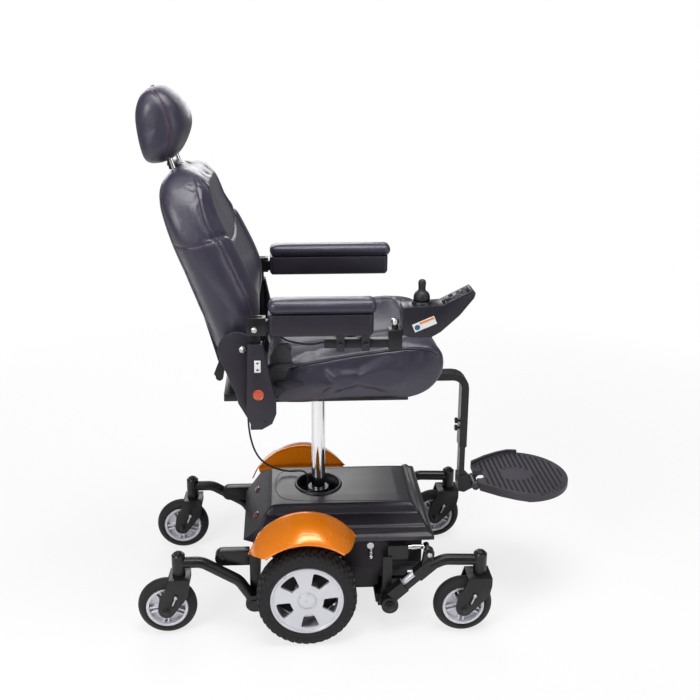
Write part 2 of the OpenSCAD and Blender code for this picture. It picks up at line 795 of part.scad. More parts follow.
module back_rail() {
  polygon([[-196, 712], [-208, 718], [-304, 1066], [-292, 1070]]);
}

module back_frame() color([0.08, 0.08, 0.09]) chair() {
  for (side = [-1, 1]) on_side(side) {
    difference() {
      slab(back_plate_y, back_plate_y + 5) {
        translate(recline_pivot) circle(30);
        polygon([[-176, 760], [-134, 772], [-150, 800], [-190, 790], [-216, 724], [-204, 706]]);
      }
      cross_bar(recline_pivot, hinge_pin_r + run_fit, back_plate_y - 5, back_plate_y + 10);
    }
    // rails inside the cushion
    slab(150, 170) back_rail();
  }
  cross_bar(back_bar, 9, -back_plate_y - 5, back_plate_y + 5);
}

// Axis of a headrest post, from the place where it leaves the backrest.
module post_axis(side) {
  translate([-313, side * 62, 1192]) rotate([0, atan2(back_lean[0], back_lean[2]), 0])
    children();
}

module back_cushion() color([0.2, 0.19, 0.23]) chair() difference() {
  hull() for (side = [-1, 1]) on_side(side) {
    translate([-262, 120, 1150]) sphere(r = 36, $fn = soft_fn);
    translate([-312, 132, 1134]) sphere(r = 32, $fn = soft_fn);
    translate([-228, 195, 1010]) sphere(r = 42, $fn = soft_fn);
    translate([-278, 196, 1026]) sphere(r = 36, $fn = soft_fn);
    translate([-155, 196, 830]) sphere(r = 42, $fn = soft_fn);
    translate([-194, 200, 800]) sphere(r = 30, $fn = soft_fn);
    translate([-174, 206, 746]) sphere(r = 26, $fn = soft_fn);
    translate([-143, 60, 900]) sphere(r = 30, $fn = soft_fn);
  }
  for (side = [-1, 1]) {
    post_axis(side) translate([0, 0, -120]) cylinder(r = 5.4, h = 160);
    on_side(side) slab(149.8, 170.2) offset(delta = 0.2) back_rail();
  }
}

module headrest_posts() color([0.8, 0.8, 0.82]) chair() {
  for (side = [-1, 1]) post_axis(side) translate([0, 0, -110]) cylinder(r = 5, h = 135);
}

module headrest() color([0.2, 0.19, 0.23]) chair() hull() {
  for (side = [-1, 1]) on_side(side) {
    translate([-350, 86, 1229]) sphere(r = 34, $fn = soft_fn);
    translate([-356, 84, 1312]) sphere(r = 42, $fn = soft_fn);
    translate([-332, 82, 1338]) sphere(r = 42, $fn = soft_fn);
    translate([-312, 84, 1280]) sphere(r = 42, $fn = soft_fn);
    translate([-324, 86, 1238]) sphere(r = 36, $fn = soft_fn);
  }
}

// ---------------------------------------------------------------- armrests and controller

arm_bar_y = [270, 289];
arm_bar_z = [838, 866];

module arm_bracket(side, front_x) color([0.07, 0.07, 0.08]) chair() on_side(side) {
  bar_l = front_x - 20 + 100;
  translate([-100, arm_bar_y[0], arm_bar_z[0]])
    cube([bar_l, arm_bar_y[1] - arm_bar_y[0], arm_bar_z[1] - arm_bar_z[0]]);
  for (y = [271.5, 289.5])
    slab(y, y + 6.5) translate([-136, 833]) square([44, 42]);
  translate([-100, 271.5, arm_bar_z[0]]) cube([8, 24.5, 37]);
  cross_bar(arm_pivot, arm_pin_r, 272, 299);
  cross_bar(arm_pivot, 8, 295, 300.5);
}
module arm_bracket_right() arm_bracket(-1, right_pad_front_x);
module arm_bracket_left() arm_bracket(1, left_pad_front_x);

arm_back_x = -87;
arm_seam_z = 881;

module arm_shell(side, front_x) {
  difference() {
    hull() for (x = [arm_back_x + 12, front_x - 20], y = [arm_inner_y + 13.5, arm_outer_y - 13.5]) {
      translate([x, y, 837]) cylinder(r = 12, h = arm_seam_z - 837);
      translate([x, y, 830]) cylinder(r = 7, h = 1);
    }
    translate([-120, arm_bar_y[0] - 0.1, arm_bar_z[0] - 0.1])
      cube([front_x + 100.2, arm_bar_y[1] - arm_bar_y[0] + 0.2, arm_bar_z[1] - arm_bar_z[0] + 0.2]);
  }
}

rail_z = [799, 819];
rail_y = [271, 291];

module arm_shell_right() color([0.13, 0.13, 0.15]) chair() on_side(-1) {
  arm_shell(-1, right_pad_front_x);
  // clamps that hold the controller's rail
  for (x = [70, 128]) difference() {
    translate([x, rail_y[0] - 6, rail_z[0] - 6]) cube([18, 32, 837 - rail_z[0] + 6]);
    translate([x - 1, rail_y[0] - slide_fit, rail_z[0] - slide_fit])
      cube([20, 20 + 2 * slide_fit, 20 + 2 * slide_fit]);
  }
}
module arm_shell_left() color([0.13, 0.13, 0.15]) chair()
  on_side(1) arm_shell(1, left_pad_front_x);

module arm_pad(side, front_x) color([0.2, 0.19, 0.23]) chair() on_side(side) hull() {
  r = 17;
  for (x = [arm_back_x + r, front_x - r], y = [arm_inner_y + r, arm_outer_y - r]) {
    translate([x, y, arm_seam_z]) cylinder(r = r, h = 8, $fn = soft_fn);
    translate([x, y, 898]) sphere(r = r, $fn = soft_fn);
  }
}
module arm_pad_right() arm_pad(-1, right_pad_front_x);
module arm_pad_left() arm_pad(1, left_pad_front_x);

module controller_mount() color([0.06, 0.06, 0.07]) chair() on_side(-1) {
  translate([42, rail_y[0], rail_z[0]]) cube([156, 20, 20]);
  translate([190, rail_y[0] - 8, rail_z[0] - 5]) cube([30.5, 36, 48]);
  translate([205, mid(rail_y[0], rail_y[1]), 842]) cylinder(r = 7, h = 10);
}

module controller_body() color([0.1, 0.1, 0.11]) chair() on_side(-1) {
  key_hole = 5.2;
  difference() {
    slab(arm_inner_y + 1, arm_outer_y - 1) polygon([
      [220.5, 862], [221, 896], [234, 897], key_start, [378, 936], [385, 930],
      [382, 918], [351, 878], [308, 838], [286, 825], [240, 826], [220.5, 832]
    ]);
    translate([stick_x, controller_y, stick_z]) sphere(r = ball_r + 1.2);
    translate([stick_x, controller_y, 868]) cylinder(r = ball_r, h = 50);
    for (k = key_seats)
      key_frame(k) translate([0, 0, -6]) cylinder(r = key_hole, h = 10);
  }
  // flange round the joystick's ball
  translate([stick_x, controller_y, 896]) difference() {
    cylinder(r = ball_r + 4, h = 7);
    translate([0, 0, -2]) cylinder(r = ball_r + 1.4, h = 12);
  }
}

// Seats of the two round keys: distance up the sloping face and distance across it.
key_seats = [[26, -12], [26, 12]];
key_travel = 1.5;

module key_frame(seat) {
  translate([key_start[0], controller_y + seat[1], key_start[1]]) rotate([0, -key_slope, 0])
    translate([seat[0], 0, 0]) children();
}
module round_key(seat) color([0.25, 0.25, 0.27]) chair() on_side(-1) key_frame(seat)
  translate([0, 0, -3.5]) cylinder(r = 4.8, h = 6.5);
module power_button() round_key(key_seats[0]);
module horn_button() round_key(key_seats[1]);

// Spider of the joystick's gimbal: a stem with one pin for each axis.
gimbal_pin_r = 2;
gimbal_reach = 14;

module joystick_gimbal() color([0.3, 0.3, 0.3]) chair()
  translate([stick_x, -controller_y, stick_z]) {
    translate([0, 0, -28]) cylinder(r = 3, h = 28);
    for (turn = [0, 90])
      rotate([0, 90, turn]) translate([0, 0, -gimbal_reach])
        cylinder(r = gimbal_pin_r, h = 2 * gimbal_reach);
  }

module joystick() color([0.08, 0.08, 0.085]) chair() translate([stick_x, -controller_y, 0]) {
  difference() {
    union() {
      translate([0, 0, stick_z]) sphere(r = ball_r);
      translate([0, 0, 926]) cylinder(r1 = 13, r2 = 7.5, h = 10);
      translate([0, 0, 930]) cylinder(r = 7.5, h = 18);
      translate([0, 0, 948]) sphere(r = 8.5);
    }
    // bore and slot for the gimbal
    translate([0, 0, stick_z]) {
      rotate([0, 90, 0]) translate([0, 0, -gimbal_reach - 1])
        cylinder(r = gimbal_pin_r + run_fit, h = 2 * gimbal_reach + 2);
      cube([7, 2 * gimbal_reach + 2, 15], center = true);
      translate([-3.5, -11, -ball_r - 1]) cube([7, 22, ball_r + 1]);
    }
  }
}

module seat_cable() color([0.05, 0.05, 0.05]) chair()
  swept_cable(seat_cable_route, seat_cable_r);
module controller_cable() color([0.05, 0.05, 0.05]) chair()
  swept_cable(controller_cable_route, controller_cable_r);

chassis_frame();
body_shroud();
battery_box();
gearmotors();
lift_outer_tube();
fender_right();
fender_left();
front_struts();
rear_struts();
arm_pivot_bolts();
drive_tyre_right();
drive_rim_right();
drive_tyre_left();
drive_rim_left();
front_arm_right();
front_arm_left();
rear_arm_right();
rear_arm_left();
front_fork_right();
front_fork_left();
rear_fork_right();
rear_fork_left();
front_caster_tyre_right();
front_caster_tyre_left();
rear_caster_tyre_right();
rear_caster_tyre_left();
front_caster_rim_right();
front_caster_rim_left();
rear_caster_rim_right();
rear_caster_rim_left();
freewheel_lever_right();
freewheel_lever_left();
lift_column();
seat_frame();
seat_cushion();
seat_belt();
side_cover_right();
side_cover_left();
recline_covers();
lift_rocker();
footrest_hanger();
footrest_tube();
footplate();
back_frame();
back_cushion();
headrest_posts();
headrest();
arm_bracket_right();
arm_shell_right();
arm_pad_right();
arm_bracket_left();
arm_shell_left();
arm_pad_left();
controller_mount();
controller_body();
joystick_gimbal();
joystick();
power_button();
horn_button();
seat_cable();
controller_cable();
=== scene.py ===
"""Looks of the power wheelchair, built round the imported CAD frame."""

import json
import math

import bmesh
import bpy
import numpy as np
from mathutils import Matrix, Vector
from mathutils.bvhtree import BVHTree

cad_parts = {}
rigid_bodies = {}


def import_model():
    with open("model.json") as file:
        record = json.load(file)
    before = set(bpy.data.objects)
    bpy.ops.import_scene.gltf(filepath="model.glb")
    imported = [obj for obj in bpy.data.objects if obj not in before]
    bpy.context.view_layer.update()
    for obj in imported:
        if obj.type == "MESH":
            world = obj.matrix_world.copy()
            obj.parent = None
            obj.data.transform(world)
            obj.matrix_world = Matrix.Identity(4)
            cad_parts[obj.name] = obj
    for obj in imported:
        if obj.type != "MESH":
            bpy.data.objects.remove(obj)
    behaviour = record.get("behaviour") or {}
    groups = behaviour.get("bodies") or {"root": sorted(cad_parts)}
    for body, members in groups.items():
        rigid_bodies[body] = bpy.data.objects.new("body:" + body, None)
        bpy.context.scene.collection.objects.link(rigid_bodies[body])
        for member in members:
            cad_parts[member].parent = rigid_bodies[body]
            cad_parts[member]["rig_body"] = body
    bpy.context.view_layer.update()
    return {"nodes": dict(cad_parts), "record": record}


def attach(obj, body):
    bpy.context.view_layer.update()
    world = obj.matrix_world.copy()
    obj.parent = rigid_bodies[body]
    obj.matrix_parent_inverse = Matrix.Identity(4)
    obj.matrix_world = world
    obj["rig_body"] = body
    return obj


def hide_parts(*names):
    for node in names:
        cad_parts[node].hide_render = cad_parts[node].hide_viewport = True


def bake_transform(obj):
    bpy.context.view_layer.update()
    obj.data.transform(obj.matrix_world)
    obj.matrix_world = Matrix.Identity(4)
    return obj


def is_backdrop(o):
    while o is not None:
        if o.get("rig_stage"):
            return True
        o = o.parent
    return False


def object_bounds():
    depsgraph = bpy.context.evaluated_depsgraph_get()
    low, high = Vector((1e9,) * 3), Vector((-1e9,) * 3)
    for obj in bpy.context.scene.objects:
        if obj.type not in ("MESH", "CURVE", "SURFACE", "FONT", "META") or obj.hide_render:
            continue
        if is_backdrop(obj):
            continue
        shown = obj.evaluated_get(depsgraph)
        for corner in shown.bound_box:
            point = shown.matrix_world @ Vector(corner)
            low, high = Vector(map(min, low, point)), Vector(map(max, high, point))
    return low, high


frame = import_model()
scene = bpy.context.scene

# Points are written in millimetres, measured forward from the drive axle, to the user's
# left and up from the floor, as in part.scad. at() turns them into the row frame.
AXLE_X = 147


def at(x, y, z):
    return Vector(((x - AXLE_X) / 1000, y / 1000, z / 1000))


def lerp(a, b, t):
    return a + (b - a) * t


def smoothstep(low, high, value):
    t = min(1, max(0, (value - low) / (high - low)))
    return t * t * (3 - 2 * t)


# ---------------------------------------------------------------- camera, stage and lights

camera = bpy.data.objects.new("camera", bpy.data.cameras.new("camera"))
scene.collection.objects.link(camera)
camera.location = (-0.2033, -2.2765, 1.5086)
camera.rotation_euler = (math.radians(74.63), 0, math.radians(-2.54))
camera.data.lens = 47.13
camera.data.shift_x = 0.0429
camera.data.shift_y = -0.1
scene.camera = camera
scene.view_settings.view_transform = "Standard"


def softbox(name, location, target, size, power, tint=(1, 1, 1)):
    data = bpy.data.lights.new(name, "AREA")
    data.shape = "RECTANGLE"
    data.size, data.size_y = size
    data.energy = power
    data.color = tint
    lamp = bpy.data.objects.new(name, data)
    scene.collection.objects.link(lamp)
    lamp.location = location
    aim = Vector(target) - Vector(location)
    lamp.rotation_euler = aim.to_track_quat("-Z", "Y").to_euler()


softbox("key", (-2.2, -2.2, 2.3), (0, 0, 0.6), (1.3, 1.5), 62)
softbox("fill", (2.2, -2.2, 1.5), (0.1, 0, 0.5), (1.2, 1.8), 20)
softbox("top", (0.1, -0.5, 3.0), (0, 0, 0.3), (2.0, 1.2), 62)
softbox("back", (-0.6, 2.6, 1.8), (0, 0, 0.6), (2.0, 1.4), 30)

# A dim white room, which the camera sees as pure white
ROOM_LIGHT = 0.17
world = bpy.data.worlds.new("studio")
scene.world = world
world.use_nodes = True
studio = world.node_tree
seen = studio.nodes.new("ShaderNodeLightPath")
level = studio.nodes.new("ShaderNodeMapRange")
level.inputs["To Min"].default_value = ROOM_LIGHT
level.inputs["To Max"].default_value = 1.0
studio.links.new(seen.outputs["Is Camera Ray"], level.inputs["Value"])
studio.nodes["Background"].inputs["Color"].default_value = (1, 1, 1, 1)
studio.links.new(level.outputs["Result"], studio.nodes["Background"].inputs["Strength"])

# ---------------------------------------------------------------- materials


def add(tree, kind, inputs=None, **settings):
    """A shader node. Inputs are constants or sockets to link."""
    made = tree.nodes.new("ShaderNode" + kind)
    for key, value in settings.items():
        setattr(made, key, value)
    for key, value in (inputs or {}).items():
        if isinstance(value, bpy.types.NodeSocket):
            tree.links.new(value, made.inputs[key])
        else:
            made.inputs[key].default_value = value
    return made


def ramp_value(tree, value, low, high, to_low, to_high):
    made = add(tree, "MapRange", {"Value": value, "From Min": low, "From Max": high,
                                  "To Min": to_low, "To Max": to_high})
    return made.outputs["Result"]


RIPPLE_SCALE = 22.0   # of the slow waves in stretched vinyl
WEAR_REACH = 0.0016   # how far from an edge the rubbed band reaches, in metres
SPECKS_PER_BLOTCH = 13


def material(name, colour, rough, metallic=0.0, coat=0.0, coat_rough=0.1, sheen=0.0,
             specular=0.5, mottle=0.12, mottle_scale=9.0, rough_spread=0.08,
             grain="noise", grain_scale=600.0, grain_depth=0.00008, ripple=0.0,
             wear=0.0, wear_colour=(0.4, 0.4, 0.4), edge=0.0008):
    """A finish with colour variation, surface grain, uneven gloss and rubbed edges."""
    made = bpy.data.materials.new(name)
    made.use_nodes = True
    tree = made.node_tree
    shader = tree.nodes["Principled BSDF"]
    coords = add(tree, "TexCoord").outputs["Object"]
    blotch = add(tree, "TexNoise", {"Vector": coords, "Scale": mottle_scale, "Detail": 5.0,
                                    "Roughness": 0.62}).outputs["Fac"]
    speck = add(tree, "TexNoise", {"Vector": coords, "Scale": mottle_scale * SPECKS_PER_BLOTCH,
                                   "Detail": 3.0}).outputs["Fac"]
    shade = ramp_value(tree, blotch, 0.3, 0.7, 1 - mottle, 1 + mottle)
    tone = add(tree, "VectorMath", {0: colour, "Scale": shade}, operation="SCALE").outputs[0]
    if edge:
        rounded = add(tree, "Bevel", {"Radius": edge}, samples=4).outputs["Normal"]
    else:
        rounded = add(tree, "NewGeometry").outputs["Normal"]
    gloss = ramp_value(tree, blotch, 0.3, 0.7, rough - rough_spread, rough + rough_spread)
    if wear:
        face = add(tree, "NewGeometry").outputs["Normal"]
        wide = add(tree, "Bevel", {"Radius": WEAR_REACH}, samples=4).outputs["Normal"]
        flat = add(tree, "VectorMath", {0: face, 1: wide}, operation="DOT_PRODUCT")
        rub = ramp_value(tree, flat.outputs["Value"], 0.985, 0.88, 0.0, 1.0)
        patchy = ramp_value(tree, speck, 0.42, 0.62, 0.0, wear)
        mask = add(tree, "Math", {0: rub, 1: patchy}, operation="MULTIPLY", use_clamp=True)
        tone = blend_colour(tree, mask.outputs[0], tone, wear_colour)
    tree.links.new(tone, shader.inputs["Base Color"])
    tree.links.new(gloss, shader.inputs["Roughness"])
    if grain == "pebble":
        texture = add(tree, "TexVoronoi", {"Vector": coords, "Scale": grain_scale})
        height = ramp_value(tree, texture.outputs["Distance"], 0.0, 0.7, 1.0, 0.0)
    elif grain == "weave":
        across = add(tree, "TexWave", {"Vector": coords, "Scale": grain_scale,
                                       "Distortion": 0.6}, bands_direction="X")
        along = add(tree, "TexWave", {"Vector": coords, "Scale": grain_scale,
                                      "Distortion": 0.6}, bands_direction="Z")
        height = add(tree, "Math", {0: across.outputs["Fac"], 1: along.outputs["Fac"]},
                     operation="MULTIPLY").outputs[0]
    else:
        height = add(tree, "TexNoise", {"Vector": coords, "Scale": grain_scale,
                                        "Detail": 3.0}).outputs["Fac"]
    normal = add(tree, "Bump", {"Height": height, "Distance": grain_depth,
                                "Strength": 1.0, "Normal": rounded}).outputs["Normal"]
    if ripple:
        waves = add(tree, "TexNoise", {"Vector": coords, "Scale": RIPPLE_SCALE,
                                       "Detail": 2.0, "Distortion": 0.6}).outputs["Fac"]
        normal = add(tree, "Bump", {"Height": waves, "Distance": ripple, "Strength": 1.0,
                                    "Normal": normal}).outputs["Normal"]
    tree.links.new(normal, shader.inputs["Normal"])
    shader.inputs["Metallic"].default_value = metallic
    shader.inputs["Specular IOR Level"].default_value = specular
    shader.inputs["Coat Weight"].default_value = coat
    shader.inputs["Coat Roughness"].default_value = coat_rough
    shader.inputs["Sheen Weight"].default_value = sheen
    made.diffuse_color = (*colour, 1)
    return made


def blend_colour(tree, factor, tone, other):
    """tone mixed with the constant colour other."""
    gap = add(tree, "VectorMath", {0: other, 1: tone}, operation="SUBTRACT").outputs[0]
    part = add(tree, "VectorMath", {0: gap, "Scale": factor}, operation="SCALE").outputs[0]
    return add(tree, "VectorMath", {0: tone, 1: part}, operation="ADD").outputs[0]


VINYL = material("vinyl", (0.027, 0.023, 0.044), 0.34, coat=0.3, coat_rough=0.24, sheen=0.03,
                 mottle=0.16, mottle_scale=7, grain="pebble", grain_scale=950,
                 grain_depth=0.00022, ripple=0.0016, rough_spread=0.07)
PAINT = material("frame_paint", (0.0065, 0.006, 0.0075), 0.36, coat=0.2, coat_rough=0.25,
                 specular=0.35, mottle=0.25, grain_scale=900, grain_depth=0.00006, wear=0.5,
                 wear_colour=(0.12, 0.12, 0.13), rough_spread=0.08)
CASTING = material("motor_casting", (0.06, 0.06, 0.064), 0.6, metallic=0.3, mottle=0.3,
                   grain_scale=350, grain_depth=0.0003, wear=0.5)
SHROUD = material("shroud_plastic", (0.014, 0.011, 0.018), 0.38, coat=0.15, coat_rough=0.2,
                  mottle=0.1, grain_scale=500, grain_depth=0.00004, rough_spread=0.06, edge=0)
BOX = material("box_plastic", (0.016, 0.012, 0.018), 0.45, specular=0.35, mottle=0.2,
               grain_scale=420, grain_depth=0.00018, wear=0.4, wear_colour=(0.1, 0.1, 0.1),
               edge=0.0015)
TRIM = material("trim_plastic", (0.02, 0.017, 0.026), 0.4, specular=0.4, mottle=0.16,
                grain="pebble", grain_scale=700, grain_depth=0.00012, wear=0.35,
                wear_colour=(0.1, 0.1, 0.11), edge=0.0014)
ORANGE = material("fender_plastic", (0.93, 0.24, 0.004), 0.28, metallic=0.25, coat=0.8,
                  coat_rough=0.06, mottle=0.07, mottle_scale=5, grain_scale=300,
                  grain_depth=0.000003, rough_spread=0.05, edge=0)
CHROME = material("chrome_steel", (0.8, 0.8, 0.82), 0.07, metallic=1.0, mottle=0.03,
                  grain_scale=160, grain_depth=0.00001, rough_spread=0.04)
SILVER = material("wheel_silver", (0.66, 0.66, 0.71), 0.34, metallic=0.45, coat=0.3,
                  coat_rough=0.2, mottle=0.06, grain_scale=800, grain_depth=0.00004,
                  wear=0.3, wear_colour=(0.75, 0.75, 0.76), edge=0.0016)
STEEL = material("lever_steel", (0.55, 0.55, 0.56), 0.3, metallic=0.9, mottle=0.12,
                 grain_scale=500, grain_depth=0.00005)
TYRE = material("tyre_rubber", (0.0105, 0.01, 0.0115), 0.7, specular=0.35, mottle=0.3,
                mottle_scale=16, grain_scale=380, grain_depth=0.00035, rough_spread=0.12,
                sheen=0.1)
RUBBER = material("soft_rubber", (0.012, 0.012, 0.014), 0.5, specular=0.4, mottle=0.15,
                  grain_scale=800, grain_depth=0.0001)
FOOT = material("footplate_plastic", (0.05, 0.043, 0.056), 0.5, specular=0.4, mottle=0.2,
                grain="pebble", grain_scale=300, grain_depth=0.00006, wear=0.5,
                wear_colour=(0.16, 0.15, 0.18), edge=0.0014)
WEBBING = material("webbing", (0.03, 0.029, 0.036), 0.75, sheen=0.3, mottle=0.2,
                   grain="weave", grain_scale=260, grain_depth=0.0005)
CONTROL = material("controller_plastic", (0.015, 0.013, 0.021), 0.34, specular=0.4,
                   mottle=0.15, grain_scale=650, grain_depth=0.0001, wear=0.3,
                   wear_colour=(0.09, 0.09, 0.1), edge=0.0014)
WHITE = material("switch_plastic", (0.72, 0.72, 0.72), 0.35, mottle=0.05)
THREAD = material("thread", (0.13, 0.05, 0.08), 0.7, sheen=0.2, mottle=0.2,
                  mottle_scale=60, grain_scale=3000, grain_depth=0.0001)
LAMP = material("lamp_red", (0.11, 0.006, 0.014), 0.2, coat=0.6, mottle=0.15,
                grain="pebble", grain_scale=420, grain_depth=0.0003)
REFLECTOR = material("reflector_orange", (0.52, 0.055, 0.012), 0.22, coat=0.8, mottle=0.08,
                     grain="pebble", grain_scale=520, grain_depth=0.0004)
# Near-black: dark joints, a dark line along each ledge, printed arrows, and painted shade on
# the footplate's groove floors and in the forks' pin slots
SEAM_AND_SHADE = material("seam_shadow", (0.006, 0.006, 0.007), 0.8, mottle=0.2)
LABEL = material("label_film", (0.75, 0.75, 0.73), 0.4, mottle=0.05, grain_scale=900)
BLUE = material("label_blue", (0.02, 0.1, 0.26), 0.4, mottle=0.06, grain_scale=900)
BAND = material("label_band", (0.8, 0.22, 0.06), 0.4, mottle=0.06, grain_scale=900)
FLOOR = material("floor", (0.86, 0.86, 0.86), 0.7, specular=0.1, mottle=0.01,
                 mottle_scale=1.5, grain_scale=60, grain_depth=0.0001)
# The floor is almost pure white to the camera and keeps only soft contact shadows: its
# own glow takes over with the distance from the chair, in metres.
NEAR, FAR, NEAR_GLOW = 0.9, 2.6, 0.74
sweep = FLOOR.node_tree
glow = add(sweep, "Emission", {"Color": (1, 1, 1, 1), "Strength": 1.0})
place = add(sweep, "NewGeometry").outputs["Position"]
reach = add(sweep, "VectorMath", {0: place}, operation="LENGTH").outputs["Value"]
whiter = ramp_value(sweep, reach, NEAR, FAR, NEAR_GLOW, 1.0)
share = add(sweep, "Math", {0: add(sweep, "LightPath").outputs["Is Camera Ray"], 1: whiter},
            operation="MULTIPLY").outputs[0]
mixed = add(sweep, "MixShader", {0: share, 1: sweep.nodes["Principled BSDF"].outputs[0],
                                 2: glow.outputs[0]})
sweep.links.new(mixed.outputs[0], sweep.nodes["Material Output"].inputs["Surface"])

FINISH = {
    "frame_paint": PAINT, "motor_casting": CASTING, "shroud_plastic": SHROUD,
    "box_plastic": BOX, "fender_plastic": ORANGE, "chrome_steel": CHROME,
    "tyre_rubber": TYRE, "wheel_silver": SILVER, "lever_steel": STEEL, "vinyl": VINYL,
    "webbing": WEBBING, "trim_plastic": TRIM, "controller_plastic": CONTROL,
    "switch_plastic": WHITE, "soft_rubber": RUBBER,
}
for row in frame["record"]["subparts"]:
    mesh = frame["nodes"][row["node"]].data
    mesh.materials.clear()
    mesh.materials.append(FINISH[row["material_slot"]])
frame["nodes"]["footplate"].data.materials[0] = FOOT

# ---------------------------------------------------------------- mesh building


def linked(name, mesh, *finishes):
    """A new object in the scene."""
    for finish in finishes:
        mesh.materials.append(finish)
    made = bpy.data.objects.new(name, mesh)
    scene.collection.objects.link(made)
    return made


def new_object(name, verts, faces, finish, smooth=True):
    mesh = bpy.data.meshes.new(name)
    mesh.from_pydata([tuple(v) for v in verts], [], faces)
    mesh.validate()
    mesh.polygons.foreach_set("use_smooth", [smooth] * len(mesh.polygons))
    return linked(name, mesh, finish)


def read_shape(mesh):
    shape = bmesh.new()
    shape.from_mesh(mesh)
    return shape


def write_shape(shape, mesh):
    shape.to_mesh(mesh)
    shape.free()
    return mesh


def shape_object(name, shape, *finishes):
    return linked(name, write_shape(shape, bpy.data.meshes.new(name)), *finishes)


def smooth_all(mesh):
    mesh.polygons.foreach_set("use_smooth", [True] * len(mesh.polygons))


def around(count):
    """count angles once round a circle."""
    return [2 * math.pi * k / count for k in range(count)]


def square_frame(direction):
    """The unit direction, with two unit vectors square to it."""
    out = Vector(direction).normalized()
    side = out.orthogonal().normalized()
    return out, side, out.cross(side)


def finished(made, degrees, distance=0.00001):
    tidy_mesh(made, distance)
    return sharp_shading(made, degrees)


def settle(made, body, slot, *nodes):
    """Puts a finished piece on its body and hides the CAD nodes that it stands for."""
    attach(made, body)
    if nodes:
        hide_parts(*nodes)
    return made


def apply_modifiers(made):
    """The object keeps what its modifiers make, and loses the modifiers."""
    graph = bpy.context.evaluated_depsgraph_get()
    mesh = bpy.data.meshes.new_from_object(made.evaluated_get(graph))
    old = made.data
    made.modifiers.clear()
    made.data = mesh
    bpy.data.meshes.remove(old)
    return made


def cut_away(made, cutter):
    cut = made.modifiers.new("cut", "BOOLEAN")
    cut.operation, cut.solver, cut.object = "DIFFERENCE", "EXACT", cutter
    apply_modifiers(made)
    bpy.data.objects.remove(cutter)


def loft(name, rings, finish):
    """A closed skin through rings of points, with flat caps."""
    count = len(rings[0])
    verts = [p for ring in rings for p in ring]
    faces = [(i * count + j, i * count + (j + 1) % count, (i + 1) * count + (j + 1) % count,
              (i + 1) * count + j) for i in range(len(rings) - 1) for j in range(count)]
    faces.append(tuple(range(count - 1, -1, -1)))
    faces.append(tuple(range(len(verts) - count, len(verts))))
    return new_object(name, verts, faces, finish)


def lathe(name, profile, centre, finish, axis="Y", steps=96):
    """A ring or knob turned from a closed profile of (radius, offset along the axis) in mm."""
    verts = []
    for turn in around(steps):
        for radius, offset in profile:
            u, v = radius * math.cos(turn) / 1000, radius * math.sin(turn) / 1000
            w = offset / 1000
            verts.append(centre + Vector((u, w, v) if axis == "Y" else (u, v, w)))
    count = len(profile)
    faces = [(i * count + j, i * count + (j + 1) % count,
              (i + 1) % steps * count + (j + 1) % count, (i + 1) % steps * count + j)
             for i in range(steps) for j in range(count)]
    made = new_object(name, verts, faces, finish)
    tidy_mesh(made)
    return made


def tidy_mesh(made, distance=0.00001):
    """Welds doubles, drops faces of no area, and turns the faces outwards."""
    shape = read_shape(made.data)
    bmesh.ops.remove_doubles(shape, verts=shape.verts, dist=distance)
    bmesh.ops.dissolve_degenerate(shape, edges=shape.edges, dist=distance)
    bmesh.ops.recalc_face_normals(shape, faces=shape.faces)
    smooth_all(write_shape(shape, made.data))


def sharp_shading(made, degrees=35):
    """Smooth faces, with the edges sharper than an angle kept crisp."""
    limit = math.radians(degrees)
    shape = read_shape(made.data)
    for e in shape.edges:
        e.smooth = len(e.link_faces) != 2 or e.calc_face_angle(0) < limit
    for f in shape.faces:
        f.smooth = True
    write_shape(shape, made.data)
    return made


def spline(points, per_span=8, closed=False):
    """A smooth curve through points."""
    pts = [Vector(p) for p in points]
    n = len(pts)
    spans = n if closed else n - 1
    out = []
    for i in range(spans):
        if closed:
            a, b, c, d = (pts[(i + k) % n] for k in (-1, 0, 1, 2))
        else:
            b, c = pts[i], pts[i + 1]
            a = pts[i - 1] if i else b * 2 - c
            d = pts[i + 2] if i + 2 < n else c * 2 - b
        for k in range(per_span):
            t = k / per_span
            out.append(0.5 * (2 * b + (c - a) * t + (2 * a - 5 * b + 4 * c - d) * t * t
                              + (3 * b - a - 3 * c + d) * t ** 3))
    if not closed:
        out.append(pts[-1])
    return out


def tube(name, path, radius, finish, sides=12):
    """A round tube along a path, in metres."""
    side = Vector((0.11, 0.97, 0.2))
    rings = []
    for i, p in enumerate(path):
        along = (path[min(i + 1, len(path) - 1)] - path[max(i - 1, 0)]).normalized()
        side = (side - along * side.dot(along)).normalized()
        up = along.cross(side)
        rings.append([p + side * radius * math.cos(a) + up * radius * math.sin(a)
                      for a in around(sides)])
    made = loft(name, rings, finish)
    tidy_mesh(made)
    return made


def rounded_box(name, low, high, radius, finish, segments=4):
    """A block with rounded edges between two corners, in mm."""
    shape = bmesh.new()
    bmesh.ops.create_cube(shape, size=1)
    centre, size = (at(*low) + at(*high)) / 2, at(*high) - at(*low)
    for v in shape.verts:
        v.co = centre + Vector((v.co.x * size.x, v.co.y * size.y, v.co.z * size.z))
    bmesh.ops.bevel(shape, geom=shape.edges[:], offset=radius / 1000, segments=segments,
                    profile=0.5, affect="EDGES")
    made = shape_object(name, shape, finish)
    smooth_all(made.data)
    return made


